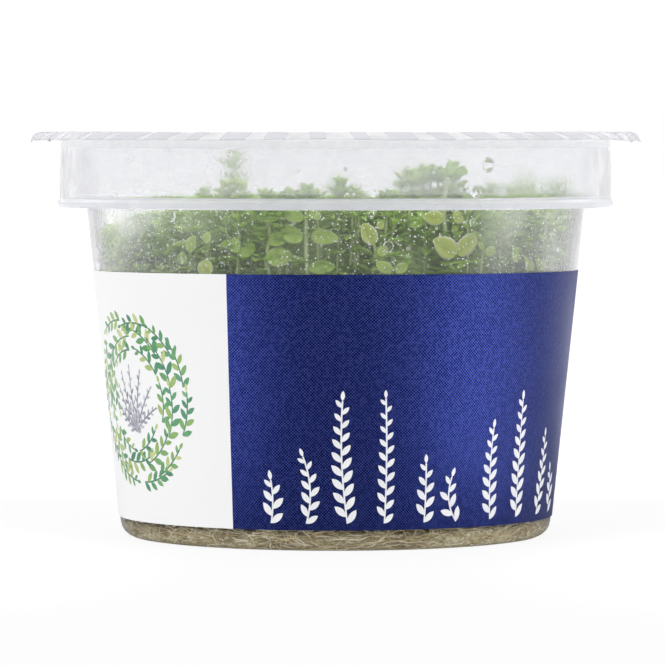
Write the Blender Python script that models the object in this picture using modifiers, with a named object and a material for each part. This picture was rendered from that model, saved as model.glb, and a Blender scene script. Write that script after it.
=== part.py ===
"""A sealed clear cup of Micranthemum micranthemoides, grown in culture gel.

Metres, +Z up. The origin is the centre of the cup's base, and -Y is the front.
"""

import math
import random

import bmesh
import bpy
from mathutils import Matrix, Quaternion, Vector

MM = 0.001
UP = Vector((0, 0, 1))
TURNED_STEPS = 40
MERGE = 0.00001
TOUCH_GAP = 0.3 * MM

# The cup, from its base up
BASE_RADIUS = 38.7 * MM
BODY_TAPER = 0.105
BASE_FILLET = 3.0 * MM
WALL = 0.8 * MM
FLOOR_Z = 1.1 * MM
STEP_Z = 60.5 * MM
NECK_RADIUS = 47.2 * MM
RIM_Z = 72.0 * MM
RIM_THICKNESS = 1.0 * MM
SKIRT_TOP_RADIUS = 49.7 * MM
SKIRT_BOTTOM_RADIUS = 50.0 * MM
SKIRT_BOTTOM_Z = 59.5 * MM

# The film over the rim
FILM_RADIUS = 55.1 * MM
FILM_THICKNESS = 0.25 * MM
FILM_STEPS = 56
FILM_WAVES = ((7, 0.22 * MM, 0.4), (12, 0.18 * MM, 2.1))
FILM_SEALED_RADIUS = SKIRT_TOP_RADIUS

# The label round the body
LABEL_BOTTOM_Z = 3.2 * MM
LABEL_TOP_Z = 48.0 * MM
LABEL_THICKNESS = 0.2 * MM
LABEL_GAP_DEGREES = 7.0

# What stands on the cup's floor
ROOT_MAT_TOP_Z = 4.2 * MM
ROOT_MAT_FILLET = 1.8 * MM
ROOT_MAT_SLOPE = 0.6 * MM
ROOT_MAT_RING = 0.45
ROOT_MAT_RIPPLE = 0.5 * MM
ROOT_MAT_RIPPLE_LENGTHS = (26.0 * MM, 21.0 * MM)
GEL_TOP_Z = 13.0 * MM

# Each plantlet
STEM_RADIUS = 0.55 * MM
STEM_TOP_SHARE = 0.8
STEM_IN_GEL = 3.0 * MM
LEAF_LENGTH = 5.6 * MM
LEAF_WIDTH = 3.6 * MM
LEAF_THICKNESS = 0.4 * MM
LEAF_LIFT_DEGREES = (14.0, 44.0)
TOP_WHORL_RISE = 2.7 * MM
WHORL_SPACING = 9.0 * MM
WHORL_BAND = 0.66 * MM
LOWEST_WHORL_ABOVE_GEL = 5.4 * MM

# A leaf's outline: shares of its length, each with its share of the width
TOP_LEAF = ((0.38, 0.8), (0.72, 0.84))
SIDE_LEAF = ((0.5, 1.0),)

# The bed of plantlets
PLANTLET_COUNT = 27
BED_RADIUS = 33.0 * MM
SPLAY = 0.13
PLANT_TOP_Z = 60.5 * MM
LEFT_PLANT_TOP_Z = 56.5 * MM
LEFT_SIDE_X = -25.0 * MM
TOP_SPREAD = 1.3 * MM
CANDIDATES = 300
SEED = 11

# The shoots that stand out in the photo: x, y and the height of the top, all in millimetres
STANDING_OUT = (
    (18.0, -29.0, 68.6),
    (-16.5, 11.0, 69.6),
    (12.5, 9.0, 66.8),
    (0.8, 3.0, 64.8),
    (31.0, 9.0, 65.2),
    (-8.0, -31.5, 61.5),
    (7.0, -32.0, 60.0),
    (-30.0, -14.0, 57.5),
)

CLEAR_PLASTIC = (0.9, 0.91, 0.93)
FILM_CLEAR = (0.88, 0.88, 0.92)
LABEL_BLUE = (0.03, 0.05, 0.3)
GEL_AMBER = (0.72, 0.68, 0.5)
ROOT_TAN = (0.4, 0.34, 0.2)
LEAF_GREEN = (0.16, 0.3, 0.06)


def clear_scene():
    for obj in list(bpy.data.objects):
        bpy.data.objects.remove(obj, do_unlink=True)


def new_collection(name):
    collection = bpy.data.collections.new(name)
    bpy.context.scene.collection.children.link(collection)
    return collection


def new_material(name, colour, roughness, alpha=1.0):
    material = bpy.data.materials.new(name)
    material.use_nodes = True
    shader = material.node_tree.nodes["Principled BSDF"]
    shader.inputs["Base Color"].default_value = (*colour, 1.0)
    shader.inputs["Roughness"].default_value = roughness
    shader.inputs["Metallic"].default_value = 0.0
    shader.inputs["Alpha"].default_value = alpha
    return material


def new_object(name, mesh, collection, material):
    obj = bpy.data.objects.new(name, mesh)
    collection.objects.link(obj)
    obj.data.materials.append(material)
    return obj


def shade_round(mesh, sharp_degrees=35.0):
    mesh.shade_smooth()
    mesh.set_sharp_from_angle(angle=math.radians(sharp_degrees))


def body_radius(z):
    """The outer radius of the cup's tapered body at a height."""
    return BASE_RADIUS + BODY_TAPER * z


def inside_radius(z):
    return body_radius(z) - WALL


def arc(centre, radius, start_degrees, end_degrees, steps):
    """Points of (radius, z) along an arc, both ends included."""
    points = []
    for i in range(steps + 1):
        angle = math.radians(start_degrees + (end_degrees - start_degrees) * i / steps)
        points.append(
            (
                centre[0] + radius * math.cos(angle),
                centre[1] + radius * math.sin(angle),
            )
        )
    return points


def profile_mesh(name, points):
    """A line of edges in the XZ plane, ready to be turned."""
    mesh = bpy.data.meshes.new(name)
    edges = [(i, i + 1) for i in range(len(points) - 1)]
    mesh.from_pydata([(r, 0.0, z) for r, z in points], edges, [])
    return mesh


def add_turn(obj, steps, degrees=360.0):
    turn = obj.modifiers.new("Turn", "SCREW")
    turn.axis = "Z"
    turn.angle = math.radians(degrees)
    turn.steps = steps
    turn.render_steps = steps
    turn.use_merge_vertices = True
    turn.merge_threshold = MERGE
    turn.use_smooth_shade = True
    return turn


def make_plain(obj):
    """Puts the modifiers' result in the object's own mesh."""
    graph = bpy.context.evaluated_depsgraph_get()
    graph.update()
    plain = bpy.data.meshes.new_from_object(obj.evaluated_get(graph))
    obj.modifiers.clear()
    obj.data = plain


def cup_profile():
    """The cup's section, from the middle of the inner floor over the rim to the middle of the base."""
    inner_fillet = BASE_FILLET - WALL
    inner_floor_radius = inside_radius(FLOOR_Z) - inner_fillet
    step_radius = body_radius(STEP_Z)
    neck_inner = NECK_RADIUS - WALL
    skirt_slope = (SKIRT_BOTTOM_RADIUS - SKIRT_TOP_RADIUS) / (RIM_Z - SKIRT_BOTTOM_Z)
    under_rim = RIM_Z - RIM_THICKNESS
    foot_radius = BASE_RADIUS - BASE_FILLET

    points = [(0.0, FLOOR_Z)]
    points += arc((inner_floor_radius, FLOOR_Z + inner_fillet), inner_fillet, -90, 0, 2)
    points += [
        (step_radius - WALL, STEP_Z),
        (neck_inner, STEP_Z + WALL),
        (neck_inner, RIM_Z),
        (SKIRT_TOP_RADIUS, RIM_Z),
        (SKIRT_BOTTOM_RADIUS, SKIRT_BOTTOM_Z),
        (SKIRT_BOTTOM_RADIUS - WALL, SKIRT_BOTTOM_Z),
        (SKIRT_TOP_RADIUS - WALL + skirt_slope * RIM_THICKNESS, under_rim),
        (NECK_RADIUS, under_rim),
        (NECK_RADIUS, STEP_Z),
        (step_radius, STEP_Z - WALL),
    ]
    points += arc((foot_radius, BASE_FILLET), BASE_FILLET, 0, -90, 3)
    points += [(0.0, 0.0)]
    return points


def build_cup(collection):
    material = new_material("clear_plastic", CLEAR_PLASTIC, 0.08, 0.35)
    obj = new_object("cup", profile_mesh("cup", cup_profile()), collection, material)
    add_turn(obj, TURNED_STEPS)
    return obj


def film_height(radius, angle):
    """How far the film's overhang waves up or down at a point."""
    share = (radius - FILM_SEALED_RADIUS) / (FILM_RADIUS - FILM_SEALED_RADIUS)
    lift = sum(size * math.sin(lobes * angle + phase) for lobes, size, phase in FILM_WAVES)
    return max(share, 0.0) * lift


def build_film_lid(collection):
    """A thin disc that lies on the rim and waves a little where it hangs over."""
    film_z = RIM_Z + TOUCH_GAP
    radii = (0.0, FILM_SEALED_RADIUS, FILM_RADIUS)
    mesh = profile_mesh("film_lid", [(r, film_z) for r in radii])
    material = new_material("film", FILM_CLEAR, 0.15, 0.4)
    obj = new_object("film_lid", mesh, collection, material)
    add_turn(obj, FILM_STEPS)
    make_plain(obj)
    for vertex in obj.data.vertices:
        flat = vertex.co.to_2d()
        vertex.co.z += film_height(flat.length, math.atan2(flat.y, flat.x))
    thicken = obj.modifiers.new("Thicken", "SOLIDIFY")
    thicken.thickness = FILM_THICKNESS
    thicken.offset = 1.0
    return obj


def build_label(collection):
    """A strip wrapped round the tapered body, with its two ends apart at the back."""
    points = [(body_radius(z) + TOUCH_GAP, z) for z in (LABEL_TOP_Z, LABEL_BOTTOM_Z)]
    material = new_material("label", LABEL_BLUE, 0.35)
    obj = new_object("label", profile_mesh("label", points), collection, material)
    add_turn(obj, TURNED_STEPS, 360.0 - LABEL_GAP_DEGREES)
    make_plain(obj)
    obj.data.transform(Matrix.Rotation(math.radians(90.0 + LABEL_GAP_DEGREES / 2), 4, "Z"))
    thicken = obj.modifiers.new("Thicken", "SOLIDIFY")
    thicken.thickness = LABEL_THICKNESS
    thicken.offset = 1.0
    return obj


def build_root_mat(collection):
    """The felt of roots: a low disc with rounded edges and a rippled top."""
    bottom_z = FLOOR_Z + TOUCH_GAP
    edge_radius = inside_radius(bottom_z) - TOUCH_GAP
    fillet_centre = (edge_radius - ROOT_MAT_FILLET, bottom_z + ROOT_MAT_FILLET)
    points = [
        (0.0, ROOT_MAT_TOP_Z),
        (edge_radius * ROOT_MAT_RING, ROOT_MAT_TOP_Z),
        (edge_radius - ROOT_MAT_SLOPE, ROOT_MAT_TOP_Z),
    ]
    points += arc(fillet_centre, ROOT_MAT_FILLET, 0, -90, 2)
    points += [(0.0, bottom_z)]
    material = new_material("roots", ROOT_TAN, 0.8)
    obj = new_object("root_mat", profile_mesh("root_mat", points), collection, material)
    add_turn(obj, TURNED_STEPS)
    make_plain(obj)
    for vertex in obj.data.vertices:
        if vertex.co.z > ROOT_MAT_TOP_Z - MERGE:
            along_x = math.sin(math.tau * vertex.co.x / ROOT_MAT_RIPPLE_LENGTHS[0])
            along_y = math.cos(math.tau * vertex.co.y / ROOT_MAT_RIPPLE_LENGTHS[1])
            vertex.co.z += ROOT_MAT_RIPPLE * (along_x + along_y - 2.0) / 4
    return obj


def build_gel(collection, cutters):
    """The gel's disc, with a pocket for the foot of each stem."""
    bottom_z = ROOT_MAT_TOP_Z + TOUCH_GAP
    points = [(0.0, GEL_TOP_Z)]
    points += [(inside_radius(z) - TOUCH_GAP, z) for z in (GEL_TOP_Z, bottom_z)]
    points += [(0.0, bottom_z)]
    material = new_material("gel", GEL_AMBER, 0.2, 0.6)
    obj = new_object("gel", profile_mesh("gel", points), collection, material)
    add_turn(obj, TURNED_STEPS)
    cut = obj.modifiers.new("Pockets", "BOOLEAN")
    cut.operation = "DIFFERENCE"
    cut.operand_type = "COLLECTION"
    cut.collection = cutters
    return obj


def grow_leaf(bm, face, reach_out, lift, outline):
    """Pulls a leaf out of a side face of the stem: outline holds (share of length, share of width)."""
    outward = face.normal.copy()
    across = UP.cross(outward)
    length = min(LEAF_LENGTH, reach_out / math.cos(lift))
    width = LEAF_WIDTH * length / LEAF_LENGTH
    along = outward * math.cos(lift) + UP * math.sin(lift)
    above = along.cross(across)
    foot = face.calc_center_median()
    for reach, spread in outline:
        before = face.calc_center_median()
        face = bmesh.ops.extrude_discrete_faces(bm, faces=[face])["faces"][0]
        for vertex in face.verts:
            side = math.copysign(0.5, (vertex.co - before).dot(across))
            top = math.copysign(0.5, (vertex.co - before).dot(UP))
            vertex.co = (
                foot
                + along * (reach * length)
                + across * (side * spread * width)
                + above * (top * LEAF_THICKNESS)
            )
    tip = bmesh.ops.poke(bm, faces=[face])["verts"][0]
    tip.co = foot + along * length


def plantlet_mesh(name, height, reach_out, rng):
    """A stem with crossed pairs of leaves and a whorl of four at the top. Its foot is at z = 0."""
    bm = bmesh.new()
    bmesh.ops.create_cone(
        bm,
        cap_ends=True,
        segments=4,
        radius1=STEM_RADIUS,
        radius2=STEM_RADIUS * STEM_TOP_SHARE,
        depth=height,
        matrix=Matrix.Translation((0, 0, height / 2)),
    )
    whorls = []
    z = height - WHORL_BAND
    while z > STEM_IN_GEL + LOWEST_WHORL_ABOVE_GEL:
        whorls.append(z)
        z -= WHORL_SPACING
    for centre in whorls:
        for cut_z in (centre - WHORL_BAND / 2, centre + WHORL_BAND / 2):
            bmesh.ops.bisect_plane(
                bm,
                geom=bm.verts[:] + bm.edges[:] + bm.faces[:],
                plane_co=(0, 0, cut_z),
                plane_no=UP,
            )
    for number, centre in enumerate(whorls):
        sides = [
            face
            for face in bm.faces
            if abs(face.normal.z) < 0.5
            and abs(face.calc_center_median().z - centre) < WHORL_BAND / 4
        ]
        sides.sort(key=lambda face: math.atan2(face.normal.y, face.normal.x))
        is_top = number == 0
        chosen = sides if is_top else sides[number % 2 :: 2]
        outline = TOP_LEAF if is_top else SIDE_LEAF
        for face in chosen:
            lift = math.radians(rng.uniform(*LEAF_LIFT_DEGREES))
            grow_leaf(bm, face, reach_out, lift, outline)
    bmesh.ops.recalc_face_normals(bm, faces=bm.faces[:])
    mesh = bpy.data.meshes.new(name)
    bm.to_mesh(mesh)
    bm.free()
    shade_round(mesh)
    return mesh


def bed_places(rng):
    """Where the plantlets stand: those of the photo, then each next one where there is most room."""
    places = [Vector((x * MM, y * MM)) for x, y, _ in STANDING_OUT]
    while len(places) < PLANTLET_COUNT:
        tries = []
        for _ in range(CANDIDATES):
            radius = BED_RADIUS * math.sqrt(rng.random())
            angle = rng.uniform(0, math.tau)
            tries.append(Vector((radius * math.cos(angle), radius * math.sin(angle))))
        places.append(max(tries, key=lambda spot: min((spot - p).length for p in places)))
    return places


def plantlet_top(number, place, rng):
    if number < len(STANDING_OUT):
        return STANDING_OUT[number][2] * MM
    usual = LEFT_PLANT_TOP_Z if place.x < LEFT_SIDE_X else PLANT_TOP_Z
    return usual + rng.uniform(-TOP_SPREAD, TOP_SPREAD)


def build_plantlets(collection, cutters):
    """The plantlets, each in its own pocket of the gel and leaning outwards with the cup's wall."""
    rng = random.Random(SEED)
    places = bed_places(rng)
    material = new_material("leaf_green", LEAF_GREEN, 0.45)
    for number, place in enumerate(places):
        name = f"plantlet_{number + 1:02d}"
        top_z = plantlet_top(number, place, rng)
        others = [(place - p).length for p in places if p is not place]
        reach_out = min(others) / 2 - STEM_RADIUS - TOUCH_GAP
        foot = Vector((place.x, place.y, GEL_TOP_Z - STEM_IN_GEL))
        stem_top_z = top_z - TOP_WHORL_RISE
        head = Vector((place.x * (1 + SPLAY), place.y * (1 + SPLAY), stem_top_z))
        height = (head - foot).length
        turn = Quaternion(UP, rng.uniform(0, math.tau))
        lean = UP.rotation_difference(head - foot)

        obj = new_object(name, plantlet_mesh(name, height, reach_out, rng), collection, material)
        obj.location = foot
        obj.rotation_mode = "QUATERNION"
        obj.rotation_quaternion = lean @ turn
        cutters.objects.link(pocket_cutter(name, foot, lean @ turn))


def pocket_cutter(name, foot, rotation):
    """A four-sided bar round a stem's foot, with a gap all round, that cuts its pocket in the gel."""
    depth = STEM_IN_GEL * 2
    pocket_radius = STEM_RADIUS + TOUCH_GAP * math.sqrt(2)
    bm = bmesh.new()
    bmesh.ops.create_cone(
        bm,
        cap_ends=True,
        segments=4,
        radius1=pocket_radius,
        radius2=pocket_radius,
        depth=depth,
        matrix=Matrix.Translation((0, 0, depth / 2 - TOUCH_GAP)),
    )
    mesh = bpy.data.meshes.new(f"{name}_pocket")
    bm.to_mesh(mesh)
    bm.free()
    cutter = bpy.data.objects.new(f"{name}_pocket", mesh)
    cutter.location = foot
    cutter.rotation_mode = "QUATERNION"
    cutter.rotation_quaternion = rotation
    cutter.hide_render = True
    cutter.display_type = "WIRE"
    return cutter


def main():
    clear_scene()
    parts = new_collection("micranthemum_cup")
    cutters = new_collection("cutters")
    build_cup(parts)
    build_film_lid(parts)
    build_label(parts)
    build_root_mat(parts)
    build_plantlets(parts, cutters)
    build_gel(parts, cutters)


main()
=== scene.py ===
"""The looks of a sealed cup of Micranthemum micranthemoides: clear walls, print, gel, roots, plants and dew.

Metres, +Z up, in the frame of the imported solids. The front is -Y.
"""

import math
import random

import bmesh
import bpy
import numpy as np
from mathutils import Matrix, Vector, noise


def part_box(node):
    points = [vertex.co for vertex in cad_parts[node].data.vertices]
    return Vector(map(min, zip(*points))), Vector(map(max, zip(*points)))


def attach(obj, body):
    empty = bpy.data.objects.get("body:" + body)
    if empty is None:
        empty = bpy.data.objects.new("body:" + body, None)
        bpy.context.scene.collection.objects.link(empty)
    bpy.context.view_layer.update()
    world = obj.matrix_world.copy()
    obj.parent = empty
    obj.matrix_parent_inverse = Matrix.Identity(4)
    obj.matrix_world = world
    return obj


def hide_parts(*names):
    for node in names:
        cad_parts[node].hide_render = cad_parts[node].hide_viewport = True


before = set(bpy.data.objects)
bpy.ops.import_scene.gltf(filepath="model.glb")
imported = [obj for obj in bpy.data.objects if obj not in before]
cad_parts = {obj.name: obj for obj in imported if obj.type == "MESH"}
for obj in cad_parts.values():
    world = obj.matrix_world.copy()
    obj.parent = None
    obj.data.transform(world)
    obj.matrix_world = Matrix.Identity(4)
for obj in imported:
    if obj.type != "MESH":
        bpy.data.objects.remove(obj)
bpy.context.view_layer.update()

MM = 0.001
UP = Vector((0, 0, 1))
ROUND_STEPS = 144

# The photo: its frame, how large a pixel is at the cup's axis, and where the lens stood
PHOTO_PIXELS = 665
PIXEL = 0.1815 * MM
AXIS_PX = 335.5
BASE_PY = 535.0
SENSOR = 36.0
EYE_DISTANCE = 907.0 * MM
EYE_HEIGHT = 71.7 * MM
CENTRE_PX = PHOTO_PIXELS / 2
EYE_X = (CENTRE_PX - AXIS_PX) * PIXEL
AIM_HEIGHT = (BASE_PY - CENTRE_PX) * PIXEL
EYE = Vector((EYE_X, -EYE_DISTANCE, EYE_HEIGHT))
EYE_PITCH = math.atan2(EYE_HEIGHT - AIM_HEIGHT, EYE_DISTANCE)
VIEW_WIDTH = PHOTO_PIXELS * PIXEL
LENS = SENSOR * math.hypot(EYE_DISTANCE, EYE_HEIGHT - AIM_HEIGHT) / VIEW_WIDTH

# The cup, as its solid has it, with rounded lips and a bead under the skirt
BASE_RADIUS = 38.7 * MM
BODY_TAPER = 0.105
BASE_FILLET = 3.0 * MM
WALL = 0.8 * MM
FLOOR_Z = 0.7 * MM
STEP_Z = 60.5 * MM
NECK_RADIUS = 47.2 * MM
RIM_Z = 72.0 * MM
RIM_THICKNESS = 1.0 * MM
SKIRT_TOP_RADIUS = 49.7 * MM
SKIRT_BOTTOM_RADIUS = 50.0 * MM
SKIRT_BOTTOM_Z = 59.6 * MM
LIP = 0.35 * MM
BEAD = 0.15 * MM
ON_AXIS = 1e-7
CLEAR, MISTED, SEALED, FROSTED, MILKY, WETTED = range(6)

# The tongue on the skirt: where it stands and half its width, in radians round from the front, and its size
TONGUE_ANGLE = 0.433
TONGUE_HALF = 0.098
TONGUE_HEIGHT = 1.3 * MM
TONGUE_THICKNESS = 0.3 * MM

# The film
FILM_RADIUS = 55.05 * MM
FILM_FLAT_Z = 72.45 * MM
FILM_THICKNESS = 0.25 * MM
MILKY_RADIUS = 48.5 * MM
PRINT_RADIUS = 44.5 * MM
FILM_CREST = 0.5 * MM
FILM_DROP = 1.3 * MM
FILM_WAVES = ((7, 0.14 * MM, 0.4), (12, 0.1 * MM, 2.1))
PRINT_LIFT = 0.02 * MM
FILM_STEPS = 192
BLADES = 46
BLADE_WIDTH = 4.4 * MM
BLADE_LEAN = 0.07

# The label
LABEL_GAP_DEGREES = 7.0
LABEL_LIFT = 0.06 * MM
LABEL_THICKNESS = 0.18 * MM
LABEL_SPLIT_DEGREES = (-27.1, -25.6)
LABEL_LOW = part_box("label")[0].z + 0.6 * MM
LABEL_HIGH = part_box("label")[1].z + 0.15 * MM
LABEL_BOW = 0.28 * MM
LABEL_SHARP_DEGREES = 40
LABEL_RADIUS = BASE_RADIUS + BODY_TAPER * (LABEL_LOW + LABEL_HIGH) / 2 + LABEL_LIFT + LABEL_THICKNESS
INK_THICKNESS = 0.05 * MM
PRINTED_STEM = 0.3 * MM

# The gel and the roots
GEL_TOP_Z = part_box("gel")[1].z
ROOTS_LOW_Z = FLOOR_Z + 0.1 * MM
ROOTS_HIGH_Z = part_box("root_mat")[1].z
WALL_ROOTS = 620
FLOOR_ROOTS = 260

# The plants: where they may stand, how many there are of each sort, and how they meet the wall
PLANTLETS = sorted(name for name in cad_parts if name.startswith("plantlet_"))
SPLAY = 0.13
STEM_RADIUS = 0.42 * MM
SIDE_STEMS = 7
CELL_RADIUS = 5.6 * MM
CROWN_Z = 60.3 * MM
FAR_LEFT_X = -31.0 * MM
FAR_LEFT_SLOPE = 0.45
DETAILED_ABOVE_Z = 40.0 * MM
LEAF_LENGTH = 5.4 * MM
LEAF_WIDTH = 3.9 * MM
RING_SHOOTS = 100
LEFT_SHOOTS = 18
LEFT_SPREAD = 0.5
LEFT_TOP_Z = 54.5 * MM
RING_BARE_BELOW = 38.0 * MM
FRONT_FREE = -0.76
FRONT_GAP = 2.0 * MM
TUFT_FOOT_Z = 50.0 * MM
WALL_CLEARANCE = 0.12 * MM
LEAF_GAP = 0.6 * MM
FRONT_PRESS = 0.35 * MM
WALL_PRESS = 1.2 * MM

# Fog and drops
MIST_INSET = 0.03 * MM
MIST_THICKNESS = 0.03 * MM
DEW_INSET = 0.01 * MM
LARGE_DROP_SAG = 1.25

# What the finishes share
PLASTIC_TINT = (0.98, 0.98, 0.99)
PLASTIC_IOR = 1.49
WATER_IOR = 1.333
GEL_IOR = 1.345
FILM_IOR = 1.45
WEAK_MIRROR = (0.45, 0.45, 0.46)
PLASTIC = {"IOR": PLASTIC_IOR, "Specular_Tint": WEAK_MIRROR}
WHITE = (1.0, 1.0, 1.0)
BLUE_LUSTRE = 0.75
LEAF_TONES = (
    (0.0, (0.2, 0.36, 0.05)),
    (0.35, (0.36, 0.59, 0.07)),
    (0.7, (0.5, 0.72, 0.11)),
    (1.0, (0.68, 0.82, 0.26)),
)

# Where the cross sections of a leaf stand along it
LEAF_STATIONS = (0.0, 0.13, 0.36, 0.64, 0.87, 1.0)
LARGE_LEAF_STATIONS = (0.0, 0.05, 0.13, 0.24, 0.36, 0.5, 0.64, 0.77, 0.88, 0.95, 1.0)

# The studio: how bright the floor is to the lens, to bounced light and through the cup, and the lamps
FLOOR_HALF = 4.0
LENS_GLOW = 0.85
LENS_WHITE = 1.08
BELOW_WHITE = 0.7
BEHIND_WHITE = 1.4
BEHIND_TINT = (1.21, 1.195, 1.235)
SIDE_LIGHT_DEGREES = 64.0
SIDE_BOX_DISTANCE = 1.2
SIDE_BOX_HEIGHT = 0.8
SIDE_BOX_SIZE = (0.6, 0.8)
SIDE_BOX_POWER = 4.0
TABLE_SPOT_DISTANCE = 0.165
TABLE_SPOT_HEIGHT = 0.45
TABLE_SPOT_SIZE = (0.07, 0.07)
TABLE_SPOT_POWER = 1.6
TABLE_SPOT_SPREAD_DEGREES = 24.0
TOP_BOX_PLACE = Vector((0.0, 0.1, 1.1))
TOP_BOX_SIZE = (0.9, 0.9)
TOP_BOX_POWER = 7.0
LAMP_AIM = Vector((0, 0, 0.04))


# Small helpers

def body_radius(z):
    return BASE_RADIUS + BODY_TAPER * z


def inner_radius(z):
    """The radius of the cup's inner wall at a height."""
    return NECK_RADIUS - WALL if z > STEP_Z + WALL else body_radius(z) - WALL


def limited(value, low, high):
    return min(max(value, low), high)


def circle(radius, z, steps):
    angles = (math.tau * i / steps for i in range(steps))
    return [(radius * math.cos(angle), radius * math.sin(angle), z) for angle in angles]


def socket_called(sockets, key):
    """The socket with that number, or the one of that name that the node shows: it keeps hidden ones too."""
    return sockets[key] if isinstance(key, int) else next(s for s in sockets if s.name == key and s.enabled)


def give(target, value):
    """Sets a node's input to a plain value, or links a signal to it. A colour comes without its alpha."""
    if isinstance(value, Signal):
        target.id_data.links.new(value.socket, target)
    elif target.type == "RGBA":
        target.default_value = (*value, 1.0)
    else:
        target.default_value = value


class Node:
    """A new node: its inputs take plain values or signals, and node["Name"] is what comes out there."""

    def __init__(self, tree, kind, inputs=None, **settings):
        self.node = tree.nodes.new(kind)
        for key, value in settings.items():
            setattr(self.node, key, value)
        for key, value in (inputs or {}).items():
            give(socket_called(self.node.inputs, key), value)

    def __getitem__(self, key):
        return Signal(socket_called(self.node.outputs, key))


class Signal:
    """What comes out of a node. Arithmetic on it adds the nodes that do it."""

    def __init__(self, socket):
        self.socket = socket
        self.tree = socket.id_data

    def __add__(self, other):
        return maths("ADD", self, other)

    def __sub__(self, other):
        return maths("SUBTRACT", self, other)

    def __rsub__(self, other):
        return maths("SUBTRACT", other, self)

    def __mul__(self, other):
        return maths("MULTIPLY", self, other)

    def __truediv__(self, other):
        return maths("DIVIDE", self, other)

    def remap(self, low, high, to_low=0.0, to_high=1.0, steepness="SMOOTHSTEP"):
        """Runs softly from one value to another while the signal goes from low to high."""
        inputs = {"Value": self, "From Min": low, "From Max": high, "To Min": to_low, "To Max": to_high}
        return Node(self.tree, "ShaderNodeMapRange", inputs, interpolation_type=steepness)["Result"]

    def between(self, low, high):
        return self.remap(0.0, 1.0, low, high)


def maths(operation, first, second=None, clamp=False):
    tree = first.tree if isinstance(first, Signal) else second.tree
    inputs = {0: first} if second is None else {0: first, 1: second}
    return Node(tree, "ShaderNodeMath", inputs, operation=operation, use_clamp=clamp)[0]


def highest(first, second):
    return maths("MAXIMUM", first, second)


def blend(share, first, second, blend_type="MIX"):
    inputs = {"Factor": share, "A": first, "B": second}
    return Node(share.tree, "ShaderNodeMix", inputs, data_type="RGBA", blend_type=blend_type)["Result"]


def ramp(place, *stops):
    """Colours that follow each other, from stops of (place, colour)."""
    made = Node(place.tree, "ShaderNodeValToRGB", {"Fac": place})
    elements = made.node.color_ramp.elements
    while len(elements) < len(stops):
        elements.new(0.5)
    for element, (position, colour) in zip(elements, stops):
        element.position = position
        element.color = (*colour, 1.0)
    return made["Color"]


def split(vector):
    return Node(vector.tree, "ShaderNodeSeparateXYZ", {"Vector": vector})


def new_group(kind, name, inputs, outputs):
    """A node group, and its input node. A socket is given by its kind, or by the number it starts with."""
    tree = bpy.data.node_groups.new(name, kind)
    for in_out, sockets in (("INPUT", inputs), ("OUTPUT", outputs)):
        for label, start in sockets.items():
            socket_kind = start if isinstance(start, str) else {float: "Float", int: "Int"}[type(start)]
            socket = tree.interface.new_socket(label, in_out=in_out, socket_type=f"NodeSocket{socket_kind}")
            if start != socket_kind:
                socket.default_value = start
    return tree, Node(tree, "NodeGroupInput")


def piece_from(mesh, name):
    obj = bpy.data.objects.new(name, mesh)
    bpy.context.scene.collection.objects.link(obj)
    return obj


def mesh_object(name, verts, faces, materials=(), smooth=True):
    mesh = bpy.data.meshes.new(name)
    mesh.from_pydata([tuple(v) for v in verts], [], faces)
    for material in materials:
        mesh.materials.append(material)
    if smooth:
        mesh.shade_smooth()
    return piece_from(mesh, name)


def set_uvs(obj, uvs):
    layer = obj.data.uv_layers.new(name="UVMap")
    for loop in obj.data.loops:
        layer.data[loop.index].uv = uvs[loop.vertex_index]


def coordinates(mesh):
    flat = np.empty(len(mesh.vertices) * 3)
    mesh.vertices.foreach_get("co", flat)
    return flat.reshape(-1, 3)


def set_coordinates(mesh, points):
    mesh.vertices.foreach_set("co", np.ascontiguousarray(points, dtype=np.float32).ravel())
    mesh.update()


def run_tree(tree, source, name, values):
    """Evaluates a geometry tree on an object, and returns the result as a new plain mesh."""
    modifier = source.modifiers.new("Growth", "NODES")
    modifier.node_group = tree
    for item in tree.interface.items_tree:
        if item.item_type == "SOCKET" and item.in_out == "INPUT" and item.name in values:
            modifier[item.identifier] = values[item.name]
    graph = bpy.context.evaluated_depsgraph_get()
    graph.update()
    mesh = bpy.data.meshes.new_from_object(source.evaluated_get(graph))
    mesh.name = name
    source.modifiers.remove(modifier)
    return mesh


def discard(obj):
    bpy.data.objects.remove(obj, do_unlink=True)


def ride_as(piece, slot, *nodes):
    """The piece rides on the cup's one body and stands for the nodes, which it hides; the slot is not used.
    """
    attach(piece, "root")
    if nodes:
        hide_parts(*nodes)


def rounded(corners, steps=5, support=0.6 * MM):
    """An outline of (r, z) from corners (r, z, radius), with arcs at the corners and points beside them."""
    points = []
    for number, (r, z, radius) in enumerate(corners):
        here = Vector((r, z))
        if radius == 0.0 or number in (0, len(corners) - 1):
            points.append(here)
            continue
        to_last = Vector(corners[number - 1][:2]) - here
        to_next = Vector(corners[number + 1][:2]) - here
        half = to_last.angle(to_next) / 2
        reach = min(radius / math.tan(half), to_last.length * 0.49, to_next.length * 0.49)
        radius = reach * math.tan(half)
        last_dir, next_dir = to_last.normalized(), to_next.normalized()
        centre = here + (last_dir + next_dir).normalized() * (radius / math.sin(half))
        start = here + last_dir * reach
        end = here + next_dir * reach
        if to_last.length > reach * 2 + support * 2:
            points.append(start + last_dir * support)
        first, last = start - centre, end - centre
        sweep = first.angle_signed(last)
        for i in range(steps + 1):
            points.append(centre + Matrix.Rotation(-sweep * i / steps, 2) @ first)
        if to_next.length > reach * 2 + support * 2:
            points.append(end + next_dir * support)
    return points


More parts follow.
